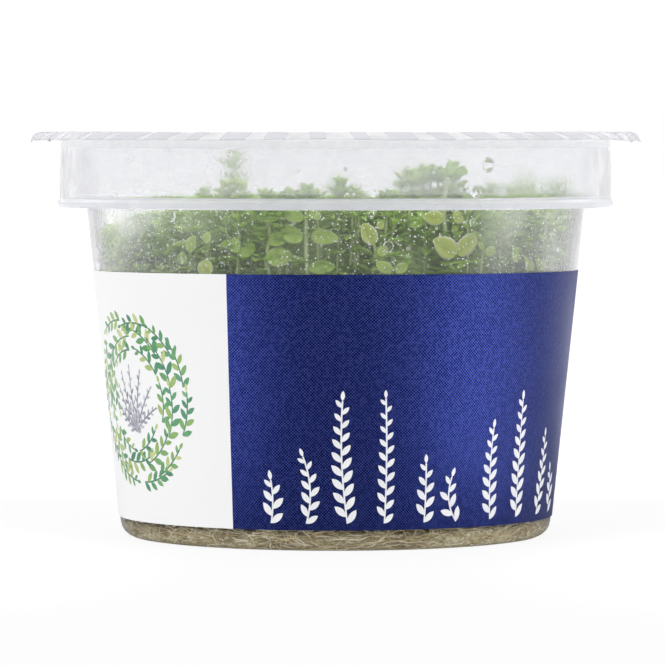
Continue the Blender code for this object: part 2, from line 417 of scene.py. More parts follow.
def turned(name, outline, materials, slot_of=None, steps=ROUND_STEPS):
    """A closed solid turned round the Z axis from an outline whose first and last points are on it."""
    verts, faces, face_slots = [], [], []
    rings = []
    for r, z in outline:
        if r < ON_AXIS:
            verts.append((0.0, 0.0, z))
            rings.append([len(verts) - 1] * steps)
        else:
            rings.append(range(len(verts), len(verts) + steps))
            verts += circle(r, z, steps)
    for row in range(len(rings) - 1):
        upper, lower = rings[row], rings[row + 1]
        for i in range(steps):
            k = (i + 1) % steps
            corners = list(dict.fromkeys((upper[i], lower[i], lower[k], upper[k])))
            if len(corners) > 2:
                faces.append(corners)
                face_slots.append(slot_of(outline[row], outline[row + 1]) if slot_of else 0)
    obj = mesh_object(name, verts, faces, materials)
    obj.data.polygons.foreach_set("material_index", face_slots)
    return obj


# Effects that more than one finish uses

def make_patches():
    """Uneven patches: a soft mask from 0 to 1, for mottling, fog and grain."""
    inputs = {"Vector": "Vector", "Scale": 100.0, "Detail": 3.0, "Low": 0.35, "High": 0.65}
    tree, given = new_group("ShaderNodeTree", "Patches", inputs, {"Mask": "Float"})
    field = Node(tree, "ShaderNodeTexNoise", {key: given[key] for key in ("Vector", "Scale", "Detail")})
    Node(tree, "NodeGroupOutput", {"Mask": field[0].remap(given["Low"], given["High"])})
    return tree


def make_dew():
    """Fine dew on plastic: domed drops as a height, and a mask of where they stand."""
    inputs = {"Vector": "Vector", "Drops per metre": 1100.0, "Crowding": 0.5}
    tree, given = new_group("ShaderNodeTree", "Dew", inputs, {"Height": "Float", "Mask": "Float"})
    inputs = {"Vector": given["Vector"], "Scale": given["Drops per metre"], "Randomness": 1.0}
    dome = Node(tree, "ShaderNodeTexVoronoi", inputs)["Distance"].remap(0.0, given["Crowding"], 1.0, 0.0)
    Node(tree, "NodeGroupOutput", {"Height": dome, "Mask": dome.remap(0.05, 0.3)})
    return tree


def make_halftone():
    """The printer's screen: a fine grid of dots in staggered rows."""
    inputs = {"Vector": "Vector", "Dots per metre": 1820.0}
    tree, given = new_group("ShaderNodeTree", "Halftone", inputs, {"Dots": "Float"})
    spot = split(given["Vector"])
    across, up = (maths("SINE", spot[axis] * given["Dots per metre"] * math.tau) for axis in "XY")
    Node(tree, "NodeGroupOutput", {"Dots": (across * up).remap(-0.2, 0.7)})
    return tree


PATCHES = make_patches()
DEW = make_dew()
HALFTONE = make_halftone()


# Finishes

class Finish:
    """A material in the making: its tree, its principled shader and its object coordinates."""

    def __init__(self, name):
        self.material = bpy.data.materials.new(name)
        self.material.use_nodes = True
        self.tree = self.material.node_tree
        self.shader = self.tree.nodes["Principled BSDF"]
        self.output = self.tree.nodes["Material Output"].inputs
        self.place = self.add("TexCoord")["Object"]

    def add(self, kind, inputs=None, **settings):
        return Node(self.tree, f"ShaderNode{kind}", inputs, **settings)

    def set(self, **values):
        """Sets or links the shader's own inputs."""
        for label, value in values.items():
            give(self.shader.inputs[label.replace("_", " ")], value)

    def patches(self, scale, detail, low, high, vector=None):
        inputs = {"Vector": vector or self.place, "Scale": scale, "Detail": detail, "Low": low, "High": high}
        return self.add("Group", inputs, node_tree=PATCHES)["Mask"]

    def dew(self, per_metre, crowding):
        inputs = {"Vector": self.place, "Drops per metre": per_metre, "Crowding": crowding}
        return self.add("Group", inputs, node_tree=DEW)

    def halftone(self, vector):
        return self.add("Group", {"Vector": vector}, node_tree=HALFTONE)["Dots"]

    def carried(self, name):
        """The number of that name which the mesh carries."""
        return self.add("Attribute", attribute_name=name)["Fac"]

    def stretched(self, *scale):
        return self.add("Mapping", {"Vector": self.place, "Scale": scale})["Vector"]

    def surface_uv(self):
        return self.add("UVMap", uv_map="UVMap")["UV"]

    def bump(self, height, strength, distance):
        inputs = {"Height": height, "Strength": strength, "Distance": distance}
        self.set(Normal=self.add("Bump", inputs)["Normal"])

    def mix_in(self, share, other):
        """For a share of it, the surface is another shader."""
        surface = self.output["Surface"]
        so_far = Signal(surface.links[0].from_socket)
        give(surface, self.add("MixShader", {0: share, 1: so_far, 2: other[0]})[0])

    def let_light_through(self):
        """Light from the lamps and the tent passes the clear piece, so that it reaches what stands behind."""
        path = self.add("LightPath")
        clear = self.add("BsdfTransparent", {"Color": (0.985, 0.985, 0.99)})
        self.mix_in(highest(path["Is Shadow Ray"], path["Is Diffuse Ray"]), clear)

    def see_light_through(self, colour, share):
        """Some of the light that falls on the back of a thin piece comes through it."""
        self.mix_in(share, self.add("BsdfTranslucent", {"Color": colour}))

    def absorb(self, colour, density):
        give(self.output["Volume"], self.add("VolumeAbsorption", {"Color": colour, "Density": density})[0])


def make_clear_plastic():
    """The walls: clear, and darker where they are seen edge on, a painted shade in their base colour."""
    finish = Finish("clear_plastic")
    slant = finish.add("LayerWeight", {"Blend": 0.5})["Facing"]
    height = split(finish.place)["Z"]
    of_body = height.remap(STEP_Z, STEP_Z + 0.5 * MM, 1.0, 0.2) * height.remap(3 * MM, 9 * MM, 0.25, 1.0)
    edge_on_shade = slant.remap(0.55, 0.8) * of_body
    scuffs = finish.patches(260.0, 5.0, 0.4, 0.7)
    # painted shade: the base colour turns dark grey where the body's wall is seen edge on
    finish.set(Base_Color=blend(edge_on_shade, PLASTIC_TINT, (0.3, 0.3, 0.33)))
    finish.set(Transmission_Weight=1.0, Roughness=scuffs.between(0.02, 0.09), **PLASTIC)
    finish.bump(finish.patches(90.0, 1.0, 0.2, 0.8), 0.12, 0.4 * MM)
    finish.let_light_through()
    return finish.material


def make_misted_plastic():
    """The inside of the walls above the gel: fog, fine dew and a few runs where drops came down."""
    finish = Finish("misted_plastic")
    finish.set(Transmission_Weight=1.0, Base_Color=PLASTIC_TINT, **PLASTIC)
    fog = finish.patches(70.0, 4.0, 0.35, 0.62)
    runs = finish.patches(420.0, 2.0, 0.56, 0.66, finish.stretched(1.0, 1.0, 0.06))
    wet = (1.0 - runs) * split(finish.place)["Z"].remap(GEL_TOP_Z, GEL_TOP_Z + 2 * MM)
    finish.set(Roughness=fog.between(0.01, 0.13) * wet + 0.03)
    finish.bump(finish.dew(1300.0, 0.55)["Height"] * wet, 0.15, 0.1 * MM)
    finish.let_light_through()
    return finish.material


def make_wetted_plastic():
    """The inside of the cup where gel and roots lie on it: the wall's own mirror is gone there."""
    finish = Finish("wetted_plastic")
    film = finish.patches(400.0, 3.0, 0.4, 0.7)
    finish.set(Alpha=film.between(0.0, 0.06), Base_Color=blend(film, (0.8, 0.78, 0.68), (0.9, 0.88, 0.8)))
    finish.set(Roughness=0.5, Specular_IOR_Level=0.1)
    return finish.material


def make_grained(name, grain, tones, roughness, relief, glow=0.0, **plain):
    """Milky or whitened plastic: one grain gives its tone, polish and relief, and light comes through."""
    finish = Finish(name)
    grain = finish.patches(*grain)
    tone = blend(grain, *tones)
    finish.set(Base_Color=tone, Roughness=grain.between(*roughness), **plain)
    finish.bump(grain, *relief)
    if glow:
        finish.see_light_through(tone, glow)
    finish.let_light_through()
    return finish.material


def make_frosted_plastic():
    """The step under the collar and the bead of the skirt: left matt by the mould."""
    grain, tones = (420.0, 4.0, 0.3, 0.7), ((0.88, 0.885, 0.935), (0.94, 0.945, 0.975))
    plain = {"Transmission_Weight": 0.7, "IOR": PLASTIC_IOR}
    return make_grained("frosted_plastic", grain, tones, (0.3, 0.45), (0.15, 0.1 * MM), **plain)


def make_collar_plastic():
    """The skirt round the neck: a little milky, with a fine grain from the mould."""
    grain, tones = (300.0, 5.0, 0.35, 0.7), ((0.975, 0.975, 0.99), (0.99, 0.99, 1.0))
    plain = {"Transmission_Weight": 0.9, **PLASTIC}
    return make_grained("collar_plastic", grain, tones, (0.08, 0.16), (0.05, 0.2 * MM), **plain)


def make_sealed_rim():
    """The flange under the film: whitened and matt from the heat seal."""
    grain, tones = (700.0, 3.0, 0.3, 0.7), ((0.86, 0.86, 0.895), (0.92, 0.92, 0.945))
    plain = {"Transmission_Weight": 0.35, **PLASTIC}
    return make_grained("sealed_rim", grain, tones, (0.4, 0.6), (0.2, 0.1 * MM), 0.45, **plain)


def make_film_edge():
    """The film outside the seal: whitened by the sealing heat and the pull of the cutter."""
    grain, tones = (240.0, 4.0, 0.3, 0.7), ((0.66, 0.66, 0.69), (0.77, 0.77, 0.79))
    relief = (0.3, 0.3 * MM)
    return make_grained("film_edge", grain, tones, (0.45, 0.6), relief, 0.5, Specular_IOR_Level=0.15)


def make_film():
    finish = Finish("film")
    haze = finish.patches(55.0, 4.0, 0.3, 0.7)
    finish.set(Transmission_Weight=1.0, IOR=FILM_IOR, Base_Color=(0.965, 0.965, 0.98))
    finish.set(Roughness=haze.between(0.05, 0.16))
    finish.bump(finish.patches(120.0, 2.0, 0.3, 0.7), 0.12, 0.5 * MM)
    finish.let_light_through()
    return finish.material


def make_mist():
    """Fog on the body's inner wall: a thin veil, thickest at the right and upper left, and fine white specks
    of dew. The specks are painted highlights, the green of the veil in front of the leaves is painted light
    from them, and its dark far left and right are painted shade.
    """
    finish = Finish("mist")
    spot = split(finish.place)
    x, y, z = (spot[axis] for axis in "XYZ")
    banks = finish.patches(75.0, 5.0, 0.25, 0.75)
    high = z.remap(47 * MM, 60 * MM)
    right = x.remap(18 * MM, 33 * MM) * high.between(0.07, 0.15)
    left = x.remap(-9 * MM, -22 * MM) * high.between(0.0, 0.15)
    left = left + x.remap(-27 * MM, -33 * MM) * z.remap(54 * MM, 58.5 * MM, 0.0, 0.22)
    left = left * x.remap(-37 * MM, -40 * MM, 1.0, 0.2)
    veil = ((right + left) * y.remap(0.0, -15 * MM) + 0.095) * banks.between(0.6, 1.4)
    from_axis = maths("ABSOLUTE", x)
    veil = veil * from_axis.remap(36 * MM, 41 * MM, 1.0, 0.35)
    edge = from_axis.remap(41.5 * MM, 43.2 * MM)
    runs = finish.patches(700.0, 3.0, 0.35, 0.7, finish.stretched(1.0, 1.0, 0.08))
    veil = veil + edge * runs.between(0.08, 0.35)
    # painted highlights: white specks where dew drops stand, for the glints of the drops
    bead_glints = finish.dew(1400.0, 0.23)["Mask"] * finish.patches(130.0, 3.0, 0.36, 0.5)
    fine = finish.dew(3000.0, 0.26)["Mask"] * finish.patches(95.0, 3.0, 0.46, 0.6) * 0.7
    bead_glints = highest(bead_glints, fine) * from_axis.remap(36 * MM, 41 * MM, 1.0, 0.2)
    # painted light: in the middle, in front of the leaves, the veil takes a green tint for their light
    # scattered in the fog
    painted_leaf_light = blend(banks, (0.64, 0.82, 0.42), (0.72, 0.88, 0.52))
    open_air = blend(banks, (0.86, 0.9, 0.82), (0.95, 0.96, 0.93))
    white = blend(bead_glints, blend(from_axis.remap(16 * MM, 36 * MM), painted_leaf_light, open_air), WHITE)
    # painted shade: towards the far left and right the veil's colour turns dark grey, where the wall is seen
    # edge on
    finish.set(Base_Color=blend(edge, white, (0.3, 0.3, 0.325)), Alpha=highest(veil, bead_glints))
    finish.set(Roughness=0.6, Specular_IOR_Level=0.2)
    return finish.material


def make_neck_mist():
    """The fog in the collar: faint, and white from the light behind it, with white specks of dew as painted
    highlights.
    """
    finish = Finish("neck_mist")
    banks = finish.patches(60.0, 5.0, 0.3, 0.7)
    # painted highlights: white specks where dew drops stand, for the glints of the drops
    bead_glints = finish.dew(1150.0, 0.2)["Mask"] * finish.patches(110.0, 3.0, 0.5, 0.66) * 0.5
    veil = highest(banks.between(0.06, 0.09), bead_glints)
    white = blend(banks, (0.95, 0.95, 0.96), (0.99, 0.99, 0.99))
    finish.set(Base_Color=white, Alpha=veil, Roughness=0.6, Specular_IOR_Level=0.1)
    finish.see_light_through(white, veil)
    return finish.material


def make_dew_water():
    finish = Finish("dew_water")
    skin = finish.patches(900.0, 1.0, 0.3, 0.7)
    finish.set(Transmission_Weight=1.0, IOR=WATER_IOR, Base_Color=(0.99, 0.99, 1.0))
    finish.set(Roughness=skin.between(0.0, 0.05))
    finish.let_light_through()
    return finish.material


def make_ink(name, *stops, alpha=1.0):
    """Printing ink: its tone comes from each motif's own tint and the printer's screen."""
    finish = Finish(name)
    tone = ramp(finish.carried("tint"), *stops)
    worn = finish.patches(500.0, 4.0, 0.3, 0.7)
    screen = (worn + finish.halftone(finish.place)) * 0.07
    finish.set(Base_Color=blend(screen, tone, (0.3, 0.32, 0.36), "MULTIPLY"))
    finish.set(Roughness=worn.between(0.28, 0.42))
    if alpha < 1.0:
        finish.set(Alpha=worn.between(alpha - 0.08, alpha + 0.08))
        finish.let_light_through()
    return finish.material


def make_label():
    """Satin printed film: white at the left, lustrous deep blue at the right, split at one straight edge."""
    finish = Finish("label")
    uv = finish.surface_uv()
    spot = split(uv)
    edges = (math.radians(degrees) * LABEL_RADIUS for degrees in LABEL_SPLIT_DEGREES)
    is_blue = maths("GREATER_THAN", spot["X"], spot["Y"].remap(LABEL_LOW, LABEL_HIGH, *edges, "LINEAR"))
    cloud = finish.patches(60.0, 5.0, 0.2, 0.8)
    speck = finish.patches(1900.0, 2.0, 0.42, 0.62)
    blue = blend(finish.halftone(uv), (0.001, 0.002, 0.032), (0.042, 0.068, 0.32))
    blue = blend(speck * 0.3, blue, (0.06, 0.085, 0.33))
    white = blend(cloud, (0.945, 0.945, 0.955), (0.96, 0.96, 0.965))
    finish.set(Base_Color=blend(is_blue, white, blue), Metallic=is_blue * BLUE_LUSTRE)
    finish.set(Roughness=cloud.between(0.44, 0.52), Specular_IOR_Level=0.12)
    finish.bump(speck, 0.05, 0.05 * MM)
    return finish.material


def make_gel():
    finish = Finish("gel")
    cloud = finish.patches(90.0, 3.0, 0.3, 0.7)
    finish.set(Transmission_Weight=1.0, IOR=GEL_IOR, Base_Color=(0.93, 0.9, 0.78))
    finish.set(Roughness=cloud.between(0.08, 0.3))
    finish.bump(cloud, 0.2, 0.6 * MM)
    finish.absorb((0.78, 0.66, 0.36), 14.0)
    finish.let_light_through()
    return finish.material


def make_root_felt():
    """Matted roots: pale and dark fibres laid every way over an olive ground, dimmer in the middle from
    painted shade.
    """
    finish = Finish("root_felt")
    ground = finish.patches(120.0, 6.0, 0.3, 0.7)
    strands_x = finish.patches(1500.0, 4.0, 0.48, 0.6, finish.stretched(0.25, 1.0, 1.6))
    strands_y = finish.patches(1400.0, 4.0, 0.5, 0.62, finish.stretched(1.0, 0.25, 1.6))
    strands = highest(strands_x, strands_y)
    tone = ramp(ground, (0.0, (0.25, 0.2, 0.09)), (0.5, (0.44, 0.37, 0.19)), (1.0, (0.65, 0.57, 0.34)))
    light = blend(strands * 0.75, tone, (0.85, 0.79, 0.58))
    sideways = maths("ABSOLUTE", split(finish.place)["X"])
    # painted shade: the felt's colour darkens towards x = 0, across the middle of its front and back
    light = blend(sideways.remap(8 * MM, 26 * MM, 1.0, 0.0), light, (0.66, 0.64, 0.63), "MULTIPLY")
    finish.set(Base_Color=light, Roughness=strands.between(0.75, 0.5))
    finish.bump(strands + ground, 0.8, 0.3 * MM)
    return finish.material


def make_root_fibre():
    finish = Finish("root_fibre")
    tones = ((0.0, (0.3, 0.23, 0.1)), (0.55, (0.62, 0.52, 0.3)), (1.0, (0.88, 0.83, 0.66)))
    nodes = finish.patches(700.0, 3.0, 0.35, 0.65)
    colour = blend(nodes * 0.4, ramp(finish.carried("tint"), *tones), (0.2, 0.16, 0.08))
    finish.set(Base_Color=colour, Roughness=nodes.between(0.4, 0.6))
    return finish.material


def make_leaf():
    """Fresh leaf: a paler midrib and side veins, a light rim, and a tone of its own for every leaf. On wet
    leaves the rim turns white as a painted highlight and the middle darkens as painted shade of their folds.
    """
    finish = Finish("leaf_green")
    spot = split(finish.surface_uv())
    along = spot["X"]
    from_rib = maths("ABSOLUTE", spot["Y"] * 2.0 - 1.0)
    wet = finish.carried("wet")
    mottle = finish.patches(900.0, 4.0, 0.3, 0.7)
    tone = ramp(finish.carried("tint") + mottle.between(-0.13, 0.13), *LEAF_TONES)

    side_veins = maths("SINE", along * 34.0 - from_rib * 12.0).remap(0.8, 1.0)
    veins = highest(from_rib.remap(0.0, 0.14, 1.0, 0.0), side_veins * 0.45)
    pale = blend(veins * 0.4, tone, (0.5, 0.62, 0.22))
    pale = blend(wet * 0.6, pale, (0.7, 0.68, 0.2))
    # painted shade: wet leaves darken towards the midrib, for the shade in their folds
    painted_fold_shade = from_rib.remap(0.0, 0.7, 0.45, 0.0) * wet
    pale = blend(painted_fold_shade, pale, (0.33, 0.42, 0.08))
    # the rim is partly a real paler margin and, on wet leaves, a painted white highlight
    rim = maths("DIVIDE", from_rib - wet.between(0.86, 0.74), 0.16, clamp=True)
    rim = highest(rim, along.remap(0.93, 1.0))
    finished = blend(rim * wet.between(0.22, 0.95), pale, (0.95, 0.98, 0.85))
    finish.set(Base_Color=finished, Roughness=mottle.between(0.26, 0.42), Specular_IOR_Level=0.55)
    finish.bump(mottle - veins, 0.3, 0.06 * MM)
    finish.see_light_through(finished, 0.4)
    return finish.material


def make_stem():
    finish = Finish("stem_green")
    tones = ((0.0, (0.12, 0.2, 0.04)), (0.6, (0.33, 0.44, 0.13)), (1.0, (0.62, 0.7, 0.38)))
    fibres = finish.patches(2400.0, 2.0, 0.35, 0.65, finish.stretched(1.0, 1.0, 0.12))
    finished = blend(fibres * 0.35, ramp(finish.carried("tint"), *tones), (0.72, 0.78, 0.5))
    finish.set(Base_Color=finished, Roughness=fibres.between(0.28, 0.45))
    finish.bump(fibres, 0.25, 0.05 * MM)
    finish.see_light_through(finished, 0.25)
    return finish.material


def make_floor():
    """Pale paper lit from below: near white round the cup, but dim where the label mirrors it."""
    finish = Finish("pale_floor")
    near = blend(finish.patches(8.0, 3.0, 0.3, 0.7), (0.25, 0.25, 0.255), (0.28, 0.28, 0.285))
    away = finish.add("VectorMath", {0: finish.place}, operation="LENGTH")["Value"]
    far = highest(away.remap(0.25, 0.7), split(finish.place)["Y"].remap(0.07, 0.2))
    finish.set(Base_Color=blend(far, near, (0.96, 0.96, 0.965)), Roughness=0.9, Specular_IOR_Level=0.0)
    path = finish.add("LightPath")
    bounced, behind = path["Is Diffuse Ray"], path["Is Transmission Ray"]
    strength = bounced.between(LENS_WHITE, BELOW_WHITE) * behind.between(1.0, BEHIND_WHITE)
    glow = finish.add("Emission", {"Color": WHITE, "Strength": strength})
    finish.mix_in(highest(highest(path["Is Camera Ray"], behind) * LENS_GLOW, bounced), glow)
    return finish.material


# Geometry trees: what repeats

def geometry_tree(name, inputs):
    return new_group("GeometryNodeTree", name, {"Geometry": "Geometry", **inputs}, {"Geometry": "Geometry"})


def end_tree(tree, shape, *finishes, smooth=True):
    """Every tree ends alike: the copies are made real and take their finishes."""
    shape = Node(tree, "GeometryNodeRealizeInstances", {"Geometry": shape})["Geometry"]
    shape = Node(tree, "GeometryNodeSetShadeSmooth", {"Geometry": shape, "Shade Smooth": smooth})["Geometry"]
    for finish in finishes:
        shape = Node(tree, "GeometryNodeSetMaterial", {"Geometry": shape, **finish})["Geometry"]
    Node(tree, "NodeGroupOutput", {"Geometry": shape})
    return tree


def named(tree, name, data_type="FLOAT"):
    return Node(tree, "GeometryNodeInputNamedAttribute", {"Name": name}, data_type=data_type)["Attribute"]


def tubes(tree, lines, sides, radius=1.0, **inputs):
    """Closed tubes along curves."""
    ring = Node(tree, "GeometryNodeCurvePrimitiveCircle", {"Resolution": sides, "Radius": radius})["Curve"]
    inputs = {"Curve": lines, "Profile Curve": ring, "Fill Caps": True, **inputs}
    return Node(tree, "GeometryNodeCurveToMesh", inputs)["Mesh"]


def stems_along(tree, given, sides):
    """A stem along every edge line, as thick as its points say."""
    lines = Node(tree, "GeometryNodeMeshToCurve", {"Mesh": given["Geometry"]})["Curve"]
    return tubes(tree, lines, sides, Scale=named(tree, "thickness"))


def copies(tree, points, thing, **inputs):
    """A copy of an object at every point."""
    shape = Node(tree, "GeometryNodeObjectInfo", {"Object": thing})["Geometry"]
    inputs = {"Points": points, "Instance": shape, **inputs}
    return Node(tree, "GeometryNodeInstanceOnPoints", inputs)["Instances"]


def joined(tree, *shapes):
    join = Node(tree, "GeometryNodeJoinGeometry")
    for shape in shapes:
        give(join.node.inputs["Geometry"], shape)
    return join["Geometry"]


def rotation(tree, turn):
    return Node(tree, "FunctionNodeEulerToRotation", {"Euler": turn})["Rotation"]


def vector(tree, **parts):
    return Node(tree, "ShaderNodeCombineXYZ", parts)["Vector"]


def make_plant_tree():
    """Stems along the edges, and a leaf at each marked point, with the size and turn it carries."""
    inputs = {"Leaf": "Object", "Stem sides": 7, "Leaf finish": "Material", "Stem finish": "Material"}
    tree, given = geometry_tree("Grown plantlet", inputs)
    stems = stems_along(tree, given, given["Stem sides"])
    leafy = named(tree, "leafy", "BOOLEAN")
    turn = rotation(tree, named(tree, "turn", "FLOAT_VECTOR"))
    size = named(tree, "size", "FLOAT_VECTOR")
    leaves = copies(tree, given["Geometry"], given["Leaf"], Selection=leafy, Rotation=turn, Scale=size)
    leaf_finish = {"Selection": leafy, "Material": given["Leaf finish"]}
    return end_tree(tree, joined(tree, stems, leaves), {"Material": given["Stem finish"]}, leaf_finish)


def make_fibre_tree():
    tree, given = geometry_tree("Fibres", {"Sides": 5, "Finish": "Material"})
    return end_tree(tree, stems_along(tree, given, given["Sides"]), {"Material": given["Finish"]})


def make_dew_tree():
    """Drops scattered over a surface, large ones rarer than small ones, and fewer in the clear patches."""
    inputs = {
        "Drop": "Object",
        "Drops per square metre": 300000.0,
        "Smallest": 0.1 * MM,
        "Largest": 0.5 * MM,
        "Patch scale": 60.0,
        "Seed": 1,
        "Finish": "Material",
    }
    tree, given = geometry_tree("Scattered dew", inputs)
    patches = Node(tree, "ShaderNodeTexNoise", {"Scale": given["Patch scale"], "Detail": 3.0})[0]
    density = patches.remap(0.42, 0.62, 0.08, 1.0) * given["Drops per square metre"]
    inputs = {"Mesh": given["Geometry"], "Density": density, "Seed": given["Seed"]}
    spots = Node(tree, "GeometryNodeDistributePointsOnFaces", inputs)
    chance = Node(tree, "FunctionNodeRandomValue", {"Seed": given["Seed"]})["Value"]
    size = maths("POWER", chance, 4.0) * (given["Largest"] - given["Smallest"]) + given["Smallest"]
    drops = copies(tree, spots["Points"], given["Drop"], Rotation=spots["Rotation"], Scale=size)
    return end_tree(tree, drops, {"Material": given["Finish"]})


def make_sprig_tree():
    """A printed sprig in the plane: an arched stem from the origin along X, with leaves left and right."""
    inputs = {
        "Leaf": "Object",
        "Length": 10 * MM,
        "Arch": 0.0,
        "Leaves": 10,
        "Leaf length": 2 * MM,
        "Leaf width": 0.8 * MM,
        "Lean": 0.8,
        "Stem width": 0.25 * MM,
        "Seed": 1,
        "Finish": "Material",
    }
    tree, given = geometry_tree("Printed sprig", inputs)
    middle = vector(tree, X=given["Length"] * 0.5, Y=given["Arch"])
    ends = {"Start": (0.0, 0.0, 0.0), "Middle": middle, "End": vector(tree, X=given["Length"])}
    arc = Node(tree, "GeometryNodeCurveQuadraticBezier", {"Resolution": 16, **ends})["Curve"]
    stem = tubes(tree, arc, 4, given["Stem width"] * 0.5)

    spots = Node(tree, "GeometryNodeCurveToPoints", {"Curve": arc, "Count": given["Leaves"]})
    index = Node(tree, "GeometryNodeInputIndex")[0]
    side = maths("MODULO", index, 2.0) * 2.0 - 1.0
    last = given["Leaves"] - 1.0
    is_tip = maths("COMPARE", index, last)
    tangent = split(spots["Tangent"])
    heading = maths("ARCTAN2", tangent["Y"], tangent["X"])
    turn = rotation(tree, vector(tree, Z=heading + side * given["Lean"] * (1.0 - is_tip)))
    taper = (index / last).remap(0.25, 1.0, 1.0, 0.62)
    size = vector(tree, X=given["Leaf length"] * taper, Y=given["Leaf width"] * taper, Z=given["Stem width"])
    chance = Node(tree, "FunctionNodeRandomValue", {"Seed": given["Seed"]})["Value"]
    inputs = {"Geometry": spots["Points"], "Name": "tint", "Value": chance}
    tinted = Node(tree, "GeometryNodeStoreNamedAttribute", inputs)["Geometry"]
    leaves = copies(tree, tinted, given["Leaf"], Rotation=turn, Scale=size)
    return end_tree(tree, joined(tree, stem, leaves), {"Material": given["Finish"]}, smooth=False)


def make_blade_tree():
    """Blades set round a ring, each pointing away from the middle."""
    inputs = {
        "Blade": "Object",
        "Count": 40,
        "Inner radius": 30 * MM,
        "Blade length": 20 * MM,
        "Blade width": 3 * MM,
        "Lean": 0.0,
        "Finish": "Material",
    }
    tree, given = geometry_tree("Ring of blades", inputs)
    ring = Node(tree, "GeometryNodeMeshCircle", {"Vertices": given["Count"], "Radius": given["Inner radius"]})
    index = Node(tree, "GeometryNodeInputIndex")[0]
    turn = rotation(tree, vector(tree, Z=index / given["Count"] * math.tau + given["Lean"]))
    chance = Node(tree, "FunctionNodeRandomValue", {"Min": 0.45, "Max": 1.5, "Seed": 7})["Value"]
    size = vector(tree, X=given["Blade length"], Y=given["Blade width"] * chance, Z=INK_THICKNESS)
    blades = copies(tree, ring["Mesh"], given["Blade"], Rotation=turn, Scale=size)
    return end_tree(tree, blades, {"Material": given["Finish"]}, smooth=False)


# Small shapes that the trees repeat

def leaf_shape(name, stations, columns):
    """A closed thin oval leaf along +X, one unit long and one wide, with UV: X along it, Y across it."""
    verts, uvs, tops, bottoms = [], [], [], []

    def put(u, v, side):
        half = math.sin(math.pi * u**0.85) ** 0.6 if 0.0 < u < 1.0 else 0.0
        body = 0.03 * side * (1 - v * v) * min(half * 2, 1.0)
        verts.append((u, 0.5 * v * half, 0.16 * half * v * v - 0.13 * u * u + body))
        uvs.append((u, 0.5 + 0.5 * v))
        return len(verts) - 1

    for u in stations:
        if u in (0.0, 1.0):
            tops.append([put(u, 0.0, 0)] * (columns + 1))
            bottoms.append(tops[-1])
            continue
        top = [put(u, 2 * j / columns - 1, 1) for j in range(columns + 1)]
        inside = [put(u, 2 * j / columns - 1, -1) for j in range(1, columns)]
        tops.append(top)
        bottoms.append([top[0], *inside, top[-1]])
    faces = []
    for rows, outward in ((tops, True), (bottoms, False)):
        for here, there in zip(rows, rows[1:]):
            for j in range(columns):
                corners = list(dict.fromkeys((here[j], there[j], there[j + 1], here[j + 1])))
                faces.append(corners if outward else corners[::-1])
    leaf = mesh_object(name, verts, faces)
    set_uvs(leaf, uvs)
    return leaf


def flat_leaf_shape(name, sides=7, point=0.8):
    """A closed flat slab, one unit long and one wide: a pointed oval."""
    outline = []
    for i in range(sides * 2):
        u = abs(2 * (i / (sides * 2)) - 1)
        half = 0.5 * math.sin(math.pi * (1 - u)) ** point if 0 < u < 1 else 0.0
        outline.append((1 - u, half if i < sides else -half))
    outline = list(dict.fromkeys(outline))
    count = len(outline)
    verts = [(x, y, z) for z in (-0.5, 0.5) for x, y in outline]
    faces = [list(range(count)), list(range(2 * count - 1, count - 1, -1))]
    faces += [[i, i + count, (i + 1) % count + count, (i + 1) % count] for i in range(count)]
    return mesh_object(name, verts, faces, smooth=False)


def bar_shape(name, steps=22):
    """A closed flat bar along +X, one unit long, one wide and one thick, in steps along its length."""
    verts, faces = [], []
    for i in range(steps + 1):
        x = i / steps
        verts += [(x, -0.5, -0.5), (x, 0.5, -0.5), (x, 0.5, 0.5), (x, -0.5, 0.5)]
    for i in range(steps):
        a, b = 4 * i, 4 * i + 4
        for k in range(4):
            n = (k + 1) % 4
            faces.append([a + k, a + n, b + n, b + k])
    faces += [[3, 2, 1, 0], [4 * steps, 4 * steps + 1, 4 * steps + 2, 4 * steps + 3]]
    faces = [face[::-1] for face in faces]
    return mesh_object(name, verts, faces, smooth=False)


def drop_shape(name, sides=6):
    """A closed low dome of water on its flat foot, one unit in radius."""
    verts = [(0.0, 0.0, 0.55), *circle(0.68, 0.4, sides), *circle(1.0, 0.0, sides)]
    faces = [[0, 1 + i, 1 + (i + 1) % sides] for i in range(sides)]
    for i in range(sides):
        k = (i + 1) % sides
        faces.append([1 + i, 1 + sides + i, 1 + sides + k, 1 + k])
    faces.append(list(range(2 * sides, sides, -1)))
    return mesh_object(name, verts, faces)


# The cup, film and label

